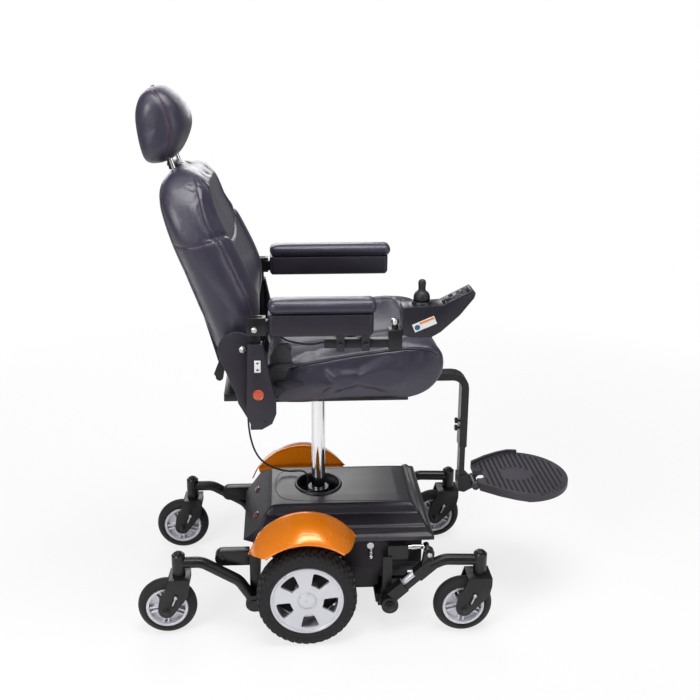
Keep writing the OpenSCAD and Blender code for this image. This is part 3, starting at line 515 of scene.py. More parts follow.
def softened(node, width, degrees=32):
    """A copy of a CAD node with its edges rounded, which stands for it."""
    source = frame["nodes"][node]
    mesh = source.data.copy()
    shape = read_shape(mesh)
    bmesh.ops.remove_doubles(shape, verts=shape.verts, dist=0.00002)
    bmesh.ops.dissolve_limit(shape, angle_limit=math.radians(0.6), verts=shape.verts,
                             edges=shape.edges)
    sharp = [e for e in shape.edges
             if len(e.link_faces) == 2 and e.calc_face_angle(0) > math.radians(degrees)]
    bmesh.ops.bevel(shape, geom=sharp, offset=width / 1000, segments=2,
                    profile=0.5, affect="EDGES", clamp_overlap=True)
    smooth_all(write_shape(shape, mesh))
    mesh.name = node + "_shape"
    made = sharp_shading(linked(node + "_shape", mesh), 30)
    row = next(r for r in frame["record"]["subparts"] if r["node"] == node)
    return settle(made, source["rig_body"], row["material_slot"], node)


def join(name, parts):
    """Several pieces as one, keeping each one's finish."""
    shape = bmesh.new()
    finishes = []
    for p in parts:
        start = len(shape.faces)
        shape.from_mesh(p.data)
        shape.faces.ensure_lookup_table()
        slots = []
        for m in p.data.materials:
            if m not in finishes:
                finishes.append(m)
            slots.append(finishes.index(m))
        for f in shape.faces[start:]:
            f.material_index = slots[min(f.material_index, len(slots) - 1)]
    mesh = write_shape(shape, bpy.data.meshes.new(name))
    for p in parts:
        bpy.data.objects.remove(p)
    return linked(name, mesh, *finishes)

# ---------------------------------------------------------------- cables

SEAT_CABLE = [
    (-0.297, 0.050, 0.600), (-0.298, 0.050, 0.570), (-0.298, 0.050, 0.525),
    (-0.297, 0.050, 0.482), (-0.295, 0.051, 0.445), (-0.290, 0.053, 0.412),
    (-0.281, 0.055, 0.380), (-0.266, 0.057, 0.352), (-0.244, 0.059, 0.332),
    (-0.213, 0.060, 0.317), (-0.183, 0.060, 0.311), (-0.161, 0.057, 0.313),
    (-0.147, 0.052, 0.314), (-0.140, 0.047, 0.311), (-0.135, 0.043, 0.302),
    (-0.133, 0.040, 0.286), (-0.133, 0.037, 0.262),
]
CONTROLLER_CABLE = [
    (-0.213, -0.262, 0.832), (-0.207, -0.262, 0.821), (-0.193, -0.262, 0.811),
    (-0.171, -0.262, 0.804), (-0.147, -0.262, 0.800), (-0.127, -0.262, 0.800),
    (-0.103, -0.262, 0.805), (-0.077, -0.262, 0.811), (-0.051, -0.262, 0.816),
    (-0.027, -0.262, 0.821), (-0.015, -0.262, 0.832),
]

seat_path = spline(SEAT_CABLE, 5)
seat_cable = tube("seat_cord", seat_path, 0.0026, RUBBER, 14)
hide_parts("seat_cable")
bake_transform(seat_cable)

controller_path = spline(CONTROLLER_CABLE, 5)
controller_cable = tube("controller_cord", controller_path, 0.0024, RUBBER, 14)
settle(controller_cable, "armrest_right", "soft_rubber", "controller_cable")

floor = new_object("floor", [(-9, -9, -0.0005), (9, -9, -0.0005), (9, 9, -0.0005),
                             (-9, 9, -0.0005)], [(0, 1, 2, 3)], FLOOR)
floor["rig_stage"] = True

# ---------------------------------------------------------------- soft pieces


def inflate(made, voxel, pressure, cap, frames=20):
    """Swells a cushion with Blender's Cloth. No point moves further than cap, in metres."""
    remesh = made.modifiers.new("remesh", "REMESH")
    remesh.mode = "VOXEL"
    remesh.voxel_size = voxel
    remesh.use_smooth_shade = True
    apply_modifiers(made)
    before = np.array([v.co for v in made.data.vertices])
    cloth = made.modifiers.new("cloth", "CLOTH")
    cloth.settings.quality = 4
    cloth.settings.mass = 0.35
    cloth.settings.tension_stiffness = 40
    cloth.settings.compression_stiffness = 40
    cloth.settings.shear_stiffness = 12
    cloth.settings.bending_stiffness = 3
    cloth.settings.use_pressure = True
    cloth.settings.uniform_pressure_force = pressure
    cloth.settings.effector_weights.gravity = 0
    cloth.collision_settings.use_collision = False
    cloth.point_cache.frame_start = 1
    cloth.point_cache.frame_end = frames
    for frame_number in range(1, frames + 1):
        scene.frame_set(frame_number)
    graph = bpy.context.evaluated_depsgraph_get()
    swollen = made.evaluated_get(graph).data
    after = np.array([v.co for v in swollen.vertices])
    made.modifiers.clear()
    scene.frame_set(1)
    move = after - before
    far = np.linalg.norm(move, axis=1)
    move *= np.minimum(1, cap / np.maximum(far, 1e-9))[:, None]
    made.data.vertices.foreach_set("co", (before + move).ravel())
    made.data.update()
    return made


def subdivide(made):
    finer = made.modifiers.new("finer", "SUBSURF")
    finer.levels = finer.render_levels = 1
    return apply_modifiers(made)


def skin_tree(made):
    shape = read_shape(made.data)
    tree = BVHTree.FromBMesh(shape)
    shape.free()
    return tree


PROBE = 0.6  # metres that a probe starts outside a cushion


def on_skin(tree, points, direction):
    """Points moved onto the skin, looking along direction from outside; misses drop out."""
    out = []
    along = Vector(direction).normalized()
    for p in points:
        hit, normal, _, _ = tree.ray_cast(p - along * PROBE, along)
        if hit is not None:
            out.append((hit, normal))
    return out


def skin_line(tree, points, per_span, direction):
    """A smooth line over the skin from points in mm, looking along direction."""
    return on_skin(tree, spline([at(*p) for p in points], per_span), direction)


def side_line(tree, border, way, reach, per_span=12):
    """A line over one side of a cushion from (x, z) points in mm."""
    fine = spline([Vector((x, z, 0)) for x, z in border], per_span)
    return on_skin(tree, [at(p.x, reach * way, p.y) for p in fine], (0, -way, 0))


def press_seams(made, seams, depth=0.0022, width=0.006):
    """Pulls the skin in along each seam, as the sewing thread does."""
    co = np.array([v.co for v in made.data.vertices])
    normals = np.array([v.normal for v in made.data.vertices])
    near = np.full(len(co), 9.0)
    for line in seams:
        pts = np.array([tuple(p) for p, _ in line])
        low, high = pts.min(0) - width * 3, pts.max(0) + width * 3
        close = np.where(((co > low) & (co < high)).all(1))[0]
        for a, b in zip(pts, pts[1:]):
            d = b - a
            t = np.clip(((co[close] - a) @ d) / max(d @ d, 1e-12), 0, 1)
            gap = np.linalg.norm(co[close] - a - t[:, None] * d, axis=1)
            near[close] = np.minimum(near[close], gap)
    pull = depth * np.exp(-(near / (width * 0.55)) ** 2)
    co -= normals * pull[:, None]
    made.data.vertices.foreach_set("co", co.ravel())
    made.data.update()


def stitching(name, lines, pitch=0.007, length=0.0045, radius=0.0006, offset=0.0028,
              both=True, lift=0.0002):
    """Rows of thread stitches beside seams, as short rounded bars."""
    verts, faces = [], []
    for line in lines:
        walked, upcoming = 0.0, pitch / 2
        for (a, na), (b, nb) in zip(line, line[1:]):
            span = (b - a).length
            while span > 1e-6 and upcoming <= walked + span:
                t = (upcoming - walked) / span
                centre, normal = a.lerp(b, t), na.lerp(nb, t).normalized()
                along = (b - a).normalized()
                across = along.cross(normal).normalized()
                for way in ((-1, 1) if both else (1,)):
                    middle = centre + across * offset * way + normal * lift
                    base = len(verts)
                    for s, size in ((-0.5, 0.35), (-0.3, 1), (0.3, 1), (0.5, 0.35)):
                        for k in range(5):
                            turn = 2 * math.pi * k / 5
                            verts.append(middle + along * length * s
                                         + across * radius * size * math.cos(turn)
                                         + normal * radius * size * math.sin(turn))
                    faces += [(base + i * 5 + k, base + i * 5 + (k + 1) % 5,
                               base + (i + 1) * 5 + (k + 1) % 5, base + (i + 1) * 5 + k)
                              for i in range(3) for k in range(5)]
                    faces.append(tuple(base + k for k in (4, 3, 2, 1, 0)))
                    faces.append(tuple(base + 15 + k for k in range(5)))
                upcoming += pitch
            walked += span
    made = new_object(name, verts, faces, THREAD)
    tidy_mesh(made, 0.000001)
    return made


def curve_through(points, count=96):
    """count points evenly spaced on a closed smooth curve through (x, z) points."""
    fine = spline([Vector((x, z, 0)) for x, z in points], 12, closed=True)
    fine.append(fine[0])
    marks = [0.0]
    for a, b in zip(fine, fine[1:]):
        marks.append(marks[-1] + (b - a).length)
    out, j = [], 0
    for i in range(count):
        goal = marks[-1] * i / count
        while marks[j + 1] < goal:
            j += 1
        t = (goal - marks[j]) / max(marks[j + 1] - marks[j], 1e-9)
        p = fine[j].lerp(fine[j + 1], t)
        out.append((p.x, p.y))
    return out


def across_loft(name, middle, edge, half_width, round_r, bulge, blend_power, finish,
                stations=29):
    """A cushion lofted across the chair between a middle profile and an edge profile in
    (x, z), with rounded side edges and slightly bulging side panels."""
    count = 96
    inner, outer = curve_through(middle, count), curve_through(edge, count)
    cx = sum(x for x, _ in outer) / count
    cz = sum(z for _, z in outer) / count
    rings = []

    def ring(y, shrink_mm, share):
        out = []
        for (xi, zi), (xo, zo) in zip(inner, outer):
            x, z = lerp(xi, xo, share), lerp(zi, zo, share)
            if shrink_mm:
                away = math.hypot(x - cx, z - cz)
                keep = max(0.0, 1 - shrink_mm / away)
                x, z = cx + (x - cx) * keep, cz + (z - cz) * keep
            out.append(at(x, y, z))
        return out

    flat = half_width - round_r
    left = []
    for i in range(stations):
        y = flat * i / (stations - 1)
        left.append((y, 0.0, (y / half_width) ** blend_power))
    for k in range(1, 8):
        a = math.pi / 2 * k / 7
        y = flat + round_r * math.sin(a)
        left.append((y, round_r * (1 - math.cos(a)), min(1, (y / half_width)) ** blend_power))
    for k in range(1, 7):
        t = k / 7
        left.append((half_width + bulge * math.sin(t * math.pi / 2),
                     round_r + (70 - round_r) * t * 1.6, 1.0))
    for y, shrink, share in reversed(left[1:]):
        rings.append(ring(-y, shrink, share))
    for y, shrink, share in left:
        rings.append(ring(y, shrink, share))
    made = loft(name, rings, finish)
    tidy_mesh(made)
    return made


# Seat cushion
seat_middle = [(-84, 650), (-20, 641), (90, 640), (200, 640), (264, 645), (308, 664),
               (333, 700), (338, 736), (327, 762), (300, 779), (250, 786), (190, 785),
               (130, 778), (70, 770), (10, 762), (-50, 755), (-82, 741), (-92, 700)]
seat_edge = [(-82, 637), (-20, 627), (90, 629), (200, 633), (264, 639), (310, 661),
             (335, 700), (338, 736), (327, 760), (300, 771), (252, 772), (190, 766),
             (130, 757), (70, 747), (10, 737), (-50, 729), (-80, 715), (-88, 680)]
seat = across_loft("seat_pad", seat_middle, seat_edge, 221, 22, 3, 3.2, VINYL)
inflate(seat, 0.0055, 4, 0.007)
subdivide(seat)
tree = skin_tree(seat)
border = [(-60, 722), (11, 732), (90, 745), (170, 757), (240, 766), (292, 765),
          (318, 752)]
line_seat = [side_line(tree, border, way, 300, 10) for way in (-1, 1)]
top_lines = [skin_line(tree, [(x, y * way, 900) for x, y in (
    (-70, 150), (60, 146), (180, 140), (276, 128))], 16, (0, 0, -1)) for way in (-1, 1)]
top_lines.append(skin_line(tree, [(x, y, 900) for x, y in (
    (208, -205), (250, -150), (262, -60), (262, 60), (250, 150), (208, 205))], 14,
    (0, 0, -1)))
press_seams(seat, line_seat, 0.0016, 0.006)
press_seams(seat, top_lines, 0.003, 0.009)
settle(seat, "seat", "vinyl", "seat_cushion")
settle(stitching("seat_stitching", top_lines, both=False), "seat", "vinyl")
for way, line in zip(("right", "left"), line_seat):
    settle(tube("seat_piping_" + way, [p + n * 0.0002 for p, n in line], 0.0016, VINYL, 8),
           "seat", "vinyl")

# Backrest: horizontal rings up its height
BACK = [  # z, rear x, front x, half width, depth of the hollow between the bolsters
    (722, -186, -166, 188, 0), (727, -195, -152, 206, 0), (745, -201, -138, 222, 2),
    (785, -219, -120, 231, 5), (830, -237, -108, 235, 9), (880, -257, -109, 236, 13),
    (930, -276, -125, 236, 15), (980, -295, -148, 236, 15), (1020, -310, -168, 234, 14),
    (1050, -320, -186, 230, 12), (1085, -331, -204, 219, 10), (1115, -340, -215, 203, 8),
    (1140, -343, -223, 184, 6), (1158, -340, -231, 164, 3), (1172, -330, -240, 142, 1),
    (1181, -314, -250, 122, 0), (1186, -298, -262, 98, 0),
]


def back_ring(row, count=112):
    z, rear, front_x, half, hollow = row
    cx, depth = (rear + front_x) / 2, (front_x - rear) / 2
    power = 5.0  # how square the section is
    out = []
    for k in range(count):
        a = 2 * math.pi * k / count
        c, s = math.cos(a), math.sin(a)
        r = (abs(c) ** power + abs(s) ** power) ** (-1 / power)
        x, y = cx + depth * r * c, half * r * s
        if c > 0:
            x -= hollow * (1 - smoothstep(0.42, 0.8, abs(y) / half)) * min(1, c * 2)
        else:
            x += depth * 0.1 * (abs(y) / half) ** 3
        out.append(at(x, y, z))
    return out


knots = spline([Vector((r[1], r[2], r[3])) for r in BACK], 4)
heights = spline([Vector((r[0], r[4], 0)) for r in BACK], 4)
rings = [back_ring((h.x, k.x, k.y, k.z, h.y)) for h, k in zip(heights, knots)]
back = loft("back_pad", rings, VINYL)
tidy_mesh(back)
inflate(back, 0.0055, 4, 0.006)
subdivide(back)
tree = skin_tree(back)
front_edge = [(-252, 1172), (-242, 1137), (-224, 1077), (-193, 1030), (-156, 949),
              (-124, 869), (-134, 800), (-150, 760)]
rear_edge = [(-322, 1156), (-331, 1112), (-311, 1046), (-276, 950), (-240, 856),
             (-212, 776)]
side_band = [(-306, 1021), (-266, 1026), (-228, 1033), (-194, 1041)]
bolster = [(118, 1160), (138, 1080), (146, 980), (148, 880), (146, 780)]
shoulder = [(228, 1044), (186, 1046), (142, 1030)]
yoke = [(-142, 1030), (-90, 1016), (0, 1010), (90, 1016), (142, 1030)]
side_seams, front_seams = [], []
for way in (-1, 1):
    side_seams += [side_line(tree, border, way, 330)
                   for border in (front_edge, rear_edge, side_band)]
    front_seams += [skin_line(tree, [(100, y * way, z) for y, z in seam], per_span,
                              (-1, 0, 0)) for seam, per_span in ((bolster, 14),
                                                                 (shoulder, 10))]
front_seams.append(skin_line(tree, [(100, y, z) for y, z in yoke], 14, (-1, 0, 0)))
press_seams(back, side_seams, 0.0018, 0.006)
press_seams(back, front_seams, 0.005, 0.012)
settle(back, "backrest", "vinyl", "back_cushion")
settle(stitching("back_stitching", side_seams, both=False, offset=0.0032), "backrest",
       "vinyl")

# Headrest
head_middle = [(-372, 1196), (-350, 1193), (-324, 1199), (-300, 1216), (-282, 1246),
               (-271, 1282), (-276, 1318), (-294, 1352), (-318, 1374), (-342, 1380),
               (-370, 1374), (-390, 1350), (-398, 1310), (-394, 1262), (-385, 1218)]
head_edge = [(-368, 1212), (-350, 1208), (-330, 1214), (-312, 1230), (-298, 1256),
             (-292, 1284), (-297, 1312), (-310, 1338), (-328, 1354), (-346, 1358),
             (-366, 1352), (-380, 1332), (-386, 1304), (-383, 1262), (-376, 1228)]
head = across_loft("head_pad", head_middle, head_edge, 122, 34, 3, 2.6, VINYL, 19)
inflate(head, 0.0045, 4, 0.004)
subdivide(head)
tree = skin_tree(head)
head_line = [(-356, 1378), (-334, 1354), (-317, 1318), (-309, 1280), (-312, 1240),
             (-325, 1199)]
head_seams = [side_line(tree, head_line, way, 300) for way in (-1, 1)]
press_seams(head, head_seams, 0.0026, 0.007)
settle(head, "headrest", "vinyl", "headrest")
settle(stitching("head_stitching", head_seams, pitch=0.0075, length=0.005), "headrest",
       "vinyl")

# Arm pads
for side, way, front_x in (("right", -1, 163), ("left", 1, 258)):
    y0, y1 = sorted((way * 246, way * 302))
    pad = rounded_box("arm_cushion_" + side, (-87, y0, 880), (front_x, y1, 915), 17,
                      VINYL, 6)
    inflate(pad, 0.0035, 3, 0.0012)
    tree = skin_tree(pad)
    corners = [(-87 + 14, y0), (front_x - 14, y0), (front_x, y0 + 14), (front_x, y1 - 14),
               (front_x - 14, y1), (-87 + 14, y1), (-87, y1 - 14), (-87, y0 + 14)]
    dense = []
    for (xa, ya), (xb, yb) in zip(corners, corners[1:] + corners[:1]):
        steps = max(4, int(math.hypot(xb - xa, yb - ya) / 6))
        dense += [at(lerp(xa, xb, k / steps), lerp(ya, yb, k / steps), 886)
                  for k in range(steps)]
    line = [tree.find_nearest(p)[:2] for p in dense + dense[:1]]
    press_seams(pad, [line], 0.0012, 0.004)
    settle(pad, "armrest_" + side, "vinyl", "arm_pad_" + side)

# ---------------------------------------------------------------- wheels


SIDES = (("right", -1), ("left", 1))
CASTERS = (("front", 403, 228), ("rear", -357, 203))  # end, x and y of the wheel
DRIVE_R, DRIVE_Y, CASTER_R = 127, 253, 76
TREAD_BLOCKS = 40


def drive_tyre(side, y):
    """A block-tread tyre: a turned carcass with rows of tread blocks round it."""
    centre = at(0, y, DRIVE_R)
    carcass = [(92.2, -27), (96, -30.5), (104, -33.2), (112, -33.4), (117.5, -31.5),
               (121, -27.5), (122.6, -21), (123.2, -10), (123.4, 0), (123.2, 10),
               (122.6, 21), (121, 27.5), (117.5, 31.5), (112, 33.4), (104, 33.2),
               (96, 30.5), (92.2, 27)]
    parts = [lathe("carcass", carcass, centre, TYRE, "Y", 120)]
    verts, faces = [], []

    def block(turn, w0, w1, arc, skew, low, high, lean):
        base = len(verts)
        for radius, shrink in ((low, 0.0), (high, 0.12)):
            for w, t in ((w0, -1), (w1, -1), (w1, 1), (w0, 1)):
                edge = abs(w) > 24
                r = radius - (lean if edge else 0)
                a = turn + t * arc * (1 - shrink) + skew * (w - w0) / 20
                wi = w + (0.6 if w == w0 else -0.6) * shrink * 8
                verts.append(centre + Vector((r * math.sin(a), wi, r * math.cos(a))) / 1000)
        faces.extend([(base, base + 3, base + 2, base + 1),
                      (base + 4, base + 5, base + 6, base + 7)])
        faces.extend([(base + k, base + (k + 1) % 4, base + 4 + (k + 1) % 4, base + 4 + k)
                      for k in range(4)])

    half = math.pi / TREAD_BLOCKS
    for turn in around(TREAD_BLOCKS):
        block(turn, -8.5, 8.5, half * 0.62, 0.03, 121.5, 126.7, 0)
        for way in (-1, 1):
            block(turn + half, way * 10.5, way * 20.5, half * 0.6, 0.035 * way, 121, 126.3, 0)
            block(turn, way * 22, way * 30.5, half * 0.66, 0.03 * way, 116.5, 125.2, 3.2)
            block(turn + half, way * 29.2, way * 33.6, half * 0.45, 0.0, 110, 120.5, 2.0)
    blocks = new_object("blocks", verts, faces, TYRE, smooth=False)
    shape = read_shape(blocks.data)
    bmesh.ops.recalc_face_normals(shape, faces=shape.faces)
    write_shape(shape, blocks.data)
    parts.append(blocks)
    for way in (-1, 1):
        for radius, inner, crown, outer in ((99, 32.2, 32.9, 32.6), (107, 33.2, 34, 33.3)):
            ring = [(radius - 0.8, way * inner), (radius, way * crown),
                    (radius + 0.8, way * outer), (radius, way * 30)]
            parts.append(lathe("rib", ring, centre, TYRE, "Y", 96))
    settle(join("drive_tread_" + side, parts), "drive_wheel_" + side, "tyre_rubber",
           "drive_tyre_" + side)


def caster_tyre(end, side, x, y):
    """A round solid tyre with a parting line and a groove beside the rim."""
    centre = at(x, y, CASTER_R)
    profile = []
    for k in range(25):
        a = math.radians(-112 + 224 * k / 24)
        profile.append((57 + 18.9 * math.cos(a), 18.9 * math.sin(a)))
    profile = [(r, w) for r, w in profile if r > 54.8]
    profile = [(54.8, -14)] + profile + [(54.8, 14)]
    parts = [lathe("round", profile, centre, TYRE, "Y", 96)]
    for way in (-1, 1):
        parts.append(lathe("lip", [(57.5, way * 17.8), (59, way * 19.2), (60.6, way * 18.6),
                                   (59, way * 17)], centre, TYRE, "Y", 96))
    parts.append(lathe("parting", [(75.6, -0.5), (76.0, 0), (75.6, 0.5), (75, 0)], centre,
                       TYRE, "Y", 96))
    name = "%s_caster_%s" % (end, side)
    settle(join(name + "_tread", parts), name, "tyre_rubber",
           "%s_caster_tyre_%s" % (end, side))


for side, way in SIDES:
    drive_tyre(side, DRIVE_Y * way)
    # centre cap with its ring, and a valve
    hub = at(0, DRIVE_Y * way, DRIVE_R)
    face = 28 * way
    cap = [(0.01, face + 2.6 * way), (12, face + 2.3 * way), (18, face + 1.4 * way),
           (20.5, face - 0.2 * way), (20.5, face - 3 * way), (0.01, face - 3 * way)]
    ring = [(21.6, face + 0.4 * way), (22.4, face + 0.9 * way), (23.2, face + 0.4 * way),
            (22.4, face - 1 * way)]
    lip = [(85.5, 26.2 * way), (88, 29.4 * way), (91.4, 29.6 * way), (92.6, 28 * way),
           (91, 24 * way), (86, 23 * way)]
    for name, profile, steps in (("hub_cap_", cap, 64), ("hub_ring_", ring, 64),
                                 ("rim_lip_", lip, 120)):
        settle(lathe(name + side, profile, hub, SILVER, "Y", steps),
               "drive_wheel_" + side, "wheel_silver")
    stem = tube("valve_" + side, [at(r * math.cos(-0.2), (DRIVE_Y + y) * way,
                                     DRIVE_R + r * math.sin(-0.2))
                                  for r, y in ((76, 14), (72, 20), (67, 26))],
                0.0026, STEEL, 12)
    settle(stem, "drive_wheel_" + side, "lever_steel")
    for end, x, y in CASTERS:
        caster_tyre(end, side, x, y * way)


def hex_nut(name, centre, direction, across, height, body, slot="lever_steel"):
    """A hexagon nut or bolt head with a chamfer and a domed end, pointing outwards."""
    out, side, up = square_frame(direction)
    rings = []
    for lift, size in ((0, 1), (0.8, 1), (1, 0.86)):
        ring = []
        for a in around(24):
            flat = math.cos(math.pi / 6) / math.cos((a % (math.pi / 3)) - math.pi / 6)
            r = across / 2 / math.cos(math.pi / 6) * flat * size
            ring.append(centre + out * height * lift + (side * math.cos(a)
                                                        + up * math.sin(a)) * r)
        rings.append(ring)
    for k in range(1, 5):
        a = math.pi / 2 * k / 5
        r = across * 0.3 * math.cos(a)
        rings.append([centre + out * (height + across * 0.22 * math.sin(a))
                      + (side * math.cos(b) + up * math.sin(b)) * r for b in around(24)])
    return settle(finished(loft(name, rings, FINISH[slot]), 30), body, slot)


for side, way in SIDES:
    for end, x, y in CASTERS:
        name = "%s_caster_%s" % (end, side)
        fork = "%s_fork_%s" % (end, side)
        for out in (-1, 1):
            hex_nut("%s_axle_nut_%s" % (name, "out" if out > 0 else "in"),
                    at(x, y * way + 34 * out, CASTER_R), (0, out, 0), 0.0125, 0.005, fork,
                    "frame_paint")
        stem_x = 444 if end == "front" else -325
        hex_nut(name + "_crown_nut", at(stem_x, y * way, 222), (0, 0, 1), 0.02, 0.003,
                "%s_arm_%s" % (end, side), "frame_paint")
    for name, x, y, z, across, height, body, slot in (
            ("front_pivot_head_", 214, 246, 78, 0.014, 0.005, "base", "frame_paint"),
            ("front_link_head_", 312, 240, 224, 0.012, 0.005, "front_arm_" + side,
             "lever_steel"),
            ("front_strut_head_", 310, 213, 224, 0.011, 0.004, "base", "lever_steel"),
            ("arm_bolt_", -118, 300.5, 849, 0.012, 0.0035, "armrest_" + side,
             "lever_steel"),
            ("recline_bolt_", -147, 262, 790, 0.015, 0.006, "seat", "lever_steel")):
        hex_nut(name + side, at(x, y * way, z), (0, way, 0), across, height, body, slot)

# ---------------------------------------------------------------- fenders


CREST_R, CREST_Z = 153, 173
LIP_R, LIP_Y, LIP_Z = 161, 283, 128


def crest_point(u):
    """A point of the fender's inner crest, from its rear end at 0 to its front at 1."""
    a = math.radians(lerp(-73, 56, u))
    z = CREST_Z + CREST_R * math.cos(a)
    return Vector((CREST_R * math.sin(a), lerp(203, 190, smoothstep(250, 266, z)), z))


def lip_point(u):
    """A point of the fender's outer lip."""
    a = math.radians(lerp(-40.5, 36, u))
    return Vector((LIP_R * math.sin(a), LIP_Y, LIP_Z + LIP_R * math.cos(a)))


def fender_point(u, v):
    p, q = crest_point(u), lip_point(u)
    bulge = Vector(((p.x + q.x) / 2 * 1.07, 256, max(p.z, q.z) - 10))
    return p * (1 - v) ** 2 + bulge * 2 * v * (1 - v) + q * v * v


def fender(side, way):
    """A pressed wheel arch: an inner wall, a rounded shoulder and a rolled lip."""
    columns, rows = 72, 26
    grid = []
    for i in range(columns + 1):
        u = i / columns
        line = []
        crest = crest_point(u)
        foot = min(238 if -127 < crest.x < 123 else crest.z - 4, crest.z - 4)
        for k in range(13):
            z = lerp(foot, crest.z - 3, k / 12)
            y = lerp(198, 190.6, smoothstep(257.5, 264, z))
            line.append(Vector((crest.x, max(y, crest.y + 0.4), z)))
        for k in range(rows + 1):
            v = k / rows
            p = fender_point(u, v)
            if k == 0:
                p += Vector((0, -1.2, -0.8))
            line.append(p)
        q = lip_point(u)
        middle = Vector((0, 0, LIP_Z)) - q
        middle.y = 0
        middle.normalize()
        line.append(q + middle * 3.5 + Vector((0, 0.6, 0)))
        line.append(q + middle * 6.5 + Vector((0, -1.5, 0)))
        grid.append(line)
    count = len(grid[0])
    verts = [at(p.x, p.y * way, p.z) for line in grid for p in line]
    faces = []
    for i in range(columns):
        for j in range(count - 1):
            quad = (i * count + j, i * count + j + 1, (i + 1) * count + j + 1,
                    (i + 1) * count + j)
            faces.append(quad if way < 0 else quad[::-1])
    made = new_object("fender_shell_" + side, verts, faces, ORANGE)
    thick = made.modifiers.new("wall", "SOLIDIFY")
    thick.thickness = 0.003
    thick.offset = -1
    rim = made.modifiers.new("rim", "BEVEL")
    rim.width = 0.0009
    rim.segments = 2
    rim.limit_method = "ANGLE"
    rim.angle_limit = math.radians(50)
    apply_modifiers(made)
    tidy_mesh(made)
    settle(made, "base", "fender_plastic", "fender_" + side)


for side, way in SIDES:
    fender(side, way)

# ---------------------------------------------------------------- shroud


# Height along the middle, height across, and half width along: narrower at the rear
SHROUD_SIDE = [(-162, 214), (-99, 286), (-88, 298), (-60, 304), (250, 304), (283, 300),
               (293, 291), (300, 278), (304, 276), (312, 266), (317, 260), (326, 255),
               (330, 250)]
SHROUD_SECTION = [(0, 304.5), (60, 303.5), (104, 300), (114, 292), (121, 279), (125, 277),
                  (160, 266), (166, 260), (186, 257), (196, 250)]
SHROUD_PLAN = [(-166, 130), (-136, 146), (-104, 164), (-90, 184), (-84, 196), (340, 196)]


def read_line(line, at_value):
    """The height of a bent line at a value."""
    for (a, low), (b, high) in zip(line, line[1:]):
        if at_value <= b:
            return lerp(low, high, (at_value - a) / (b - a))
    return line[-1][1]


def deck_height(x, y):
    """The lower of the two profiles, with the fold between them rounded."""
    along, across, r = read_line(SHROUD_SIDE, x), read_line(SHROUD_SECTION, abs(y)), 6
    h = max(r - abs(along - across), 0) / r
    return min(along, across) - h * h * r / 4


def shroud():
    """The glossy cover as one thin shell, with a hole and a collar for the seat lift."""
    columns, rows = 246, 196
    xs = [lerp(-162, 330, i / columns) for i in range(columns + 1)]
    ys = [[lerp(-1, 1, j / rows) * read_line(SHROUD_PLAN, x) for j in range(rows + 1)]
          for x in xs]
    tops = [[deck_height(x, y) for y in line] for x, line in zip(xs, ys)]
    for _ in range(2):  # rounds the folds
        tops = [[(tops[max(i - 1, 0)][j] + tops[min(i + 1, columns)][j]
                  + tops[i][max(j - 1, 0)] + tops[i][min(j + 1, rows)]
                  + 4 * tops[i][j]) / 8 for j in range(rows + 1)]
                for i in range(columns + 1)]

    def floor_z(x):
        if x < -120:
            return 214
        if x < 90:
            return 197
        return lerp(197, 240, min(1, (x - 90) / 40))

    verts, index = [], {}
    for i, x in enumerate(xs):
        for j in range(rows + 1):
            index[i, j] = len(verts)
            verts.append(at(x, ys[i][j], tops[i][j]))
    faces = []
    for i in range(columns):
        for j in range(rows):
            faces.append((index[i, j], index[i + 1, j], index[i + 1, j + 1],
                          index[i, j + 1]))
    border = ([(i, 0) for i in range(columns)] + [(columns, j) for j in range(rows)]
              + [(i, rows) for i in range(columns, 0, -1)]
              + [(0, j) for j in range(rows, 0, -1)])
    rings = [[index[b] for b in border]]
    for k in range(1, 6):
        ring = []
        for i, j in border:
            top = tops[i][j]
            low = min(floor_z(xs[i]), top - 1)
            ring.append(len(verts))
            verts.append(at(xs[i], ys[i][j], lerp(top, low, k / 5)))
        rings.append(ring)
    for upper, lower in zip(rings, rings[1:]):
        for k in range(len(border)):
            n = (k + 1) % len(border)
            faces.append((upper[k], lower[k], lower[n], upper[n]))
    made = new_object("shroud_skin", verts, faces, SHROUD)
    tidy_mesh(made)
    if sum(p.normal.z for p in made.data.polygons) < 0:
        made.data.flip_normals()
    wall = made.modifiers.new("wall", "SOLIDIFY")
    wall.thickness = 0.003
    wall.offset = -1
    apply_modifiers(made)
    lift_axis = at(40, 0, 0)
    hole = lathe("hole", [(0.01, 200), (57.6, 200), (57.6, 340), (0.01, 340)], lift_axis,
                 SHROUD, "Z", 96)
    cut_away(made, hole)
    sharp_shading(made, 40)
    settle(made, "base", "shroud_plastic", "body_shroud")
    collar = [(57.6, 272), (57.4, 304), (58.4, 306.6), (60.5, 307), (63, 306),
              (65, 303.2), (64, 300), (60, 298), (60, 272)]
    settle(lathe("shroud_collar", collar, lift_axis, SHROUD, "Z", 96), "base",
           "shroud_plastic")


shroud()


def on_deck(x, y, lift):
    return at(x, y, deck_height(x, y) + lift)


def joint_line(name, points, width):
    """A thin dark strip in the deck along points in metres, such as where two covers meet."""
    up, rings = Vector((0, 0, 1)), []
    for i, p in enumerate(points):
        along = (points[min(i + 1, len(points) - 1)] - points[max(i - 1, 0)]).normalized()
        side = along.cross(up).normalized() * width / 2
        rings.append([p - side, p + side, p + side - up * 0.0004, p - side - up * 0.0004])
    settle(finished(loft(name, rings, SEAM_AND_SHADE), 40, 0.000001), "base", "shroud_plastic")
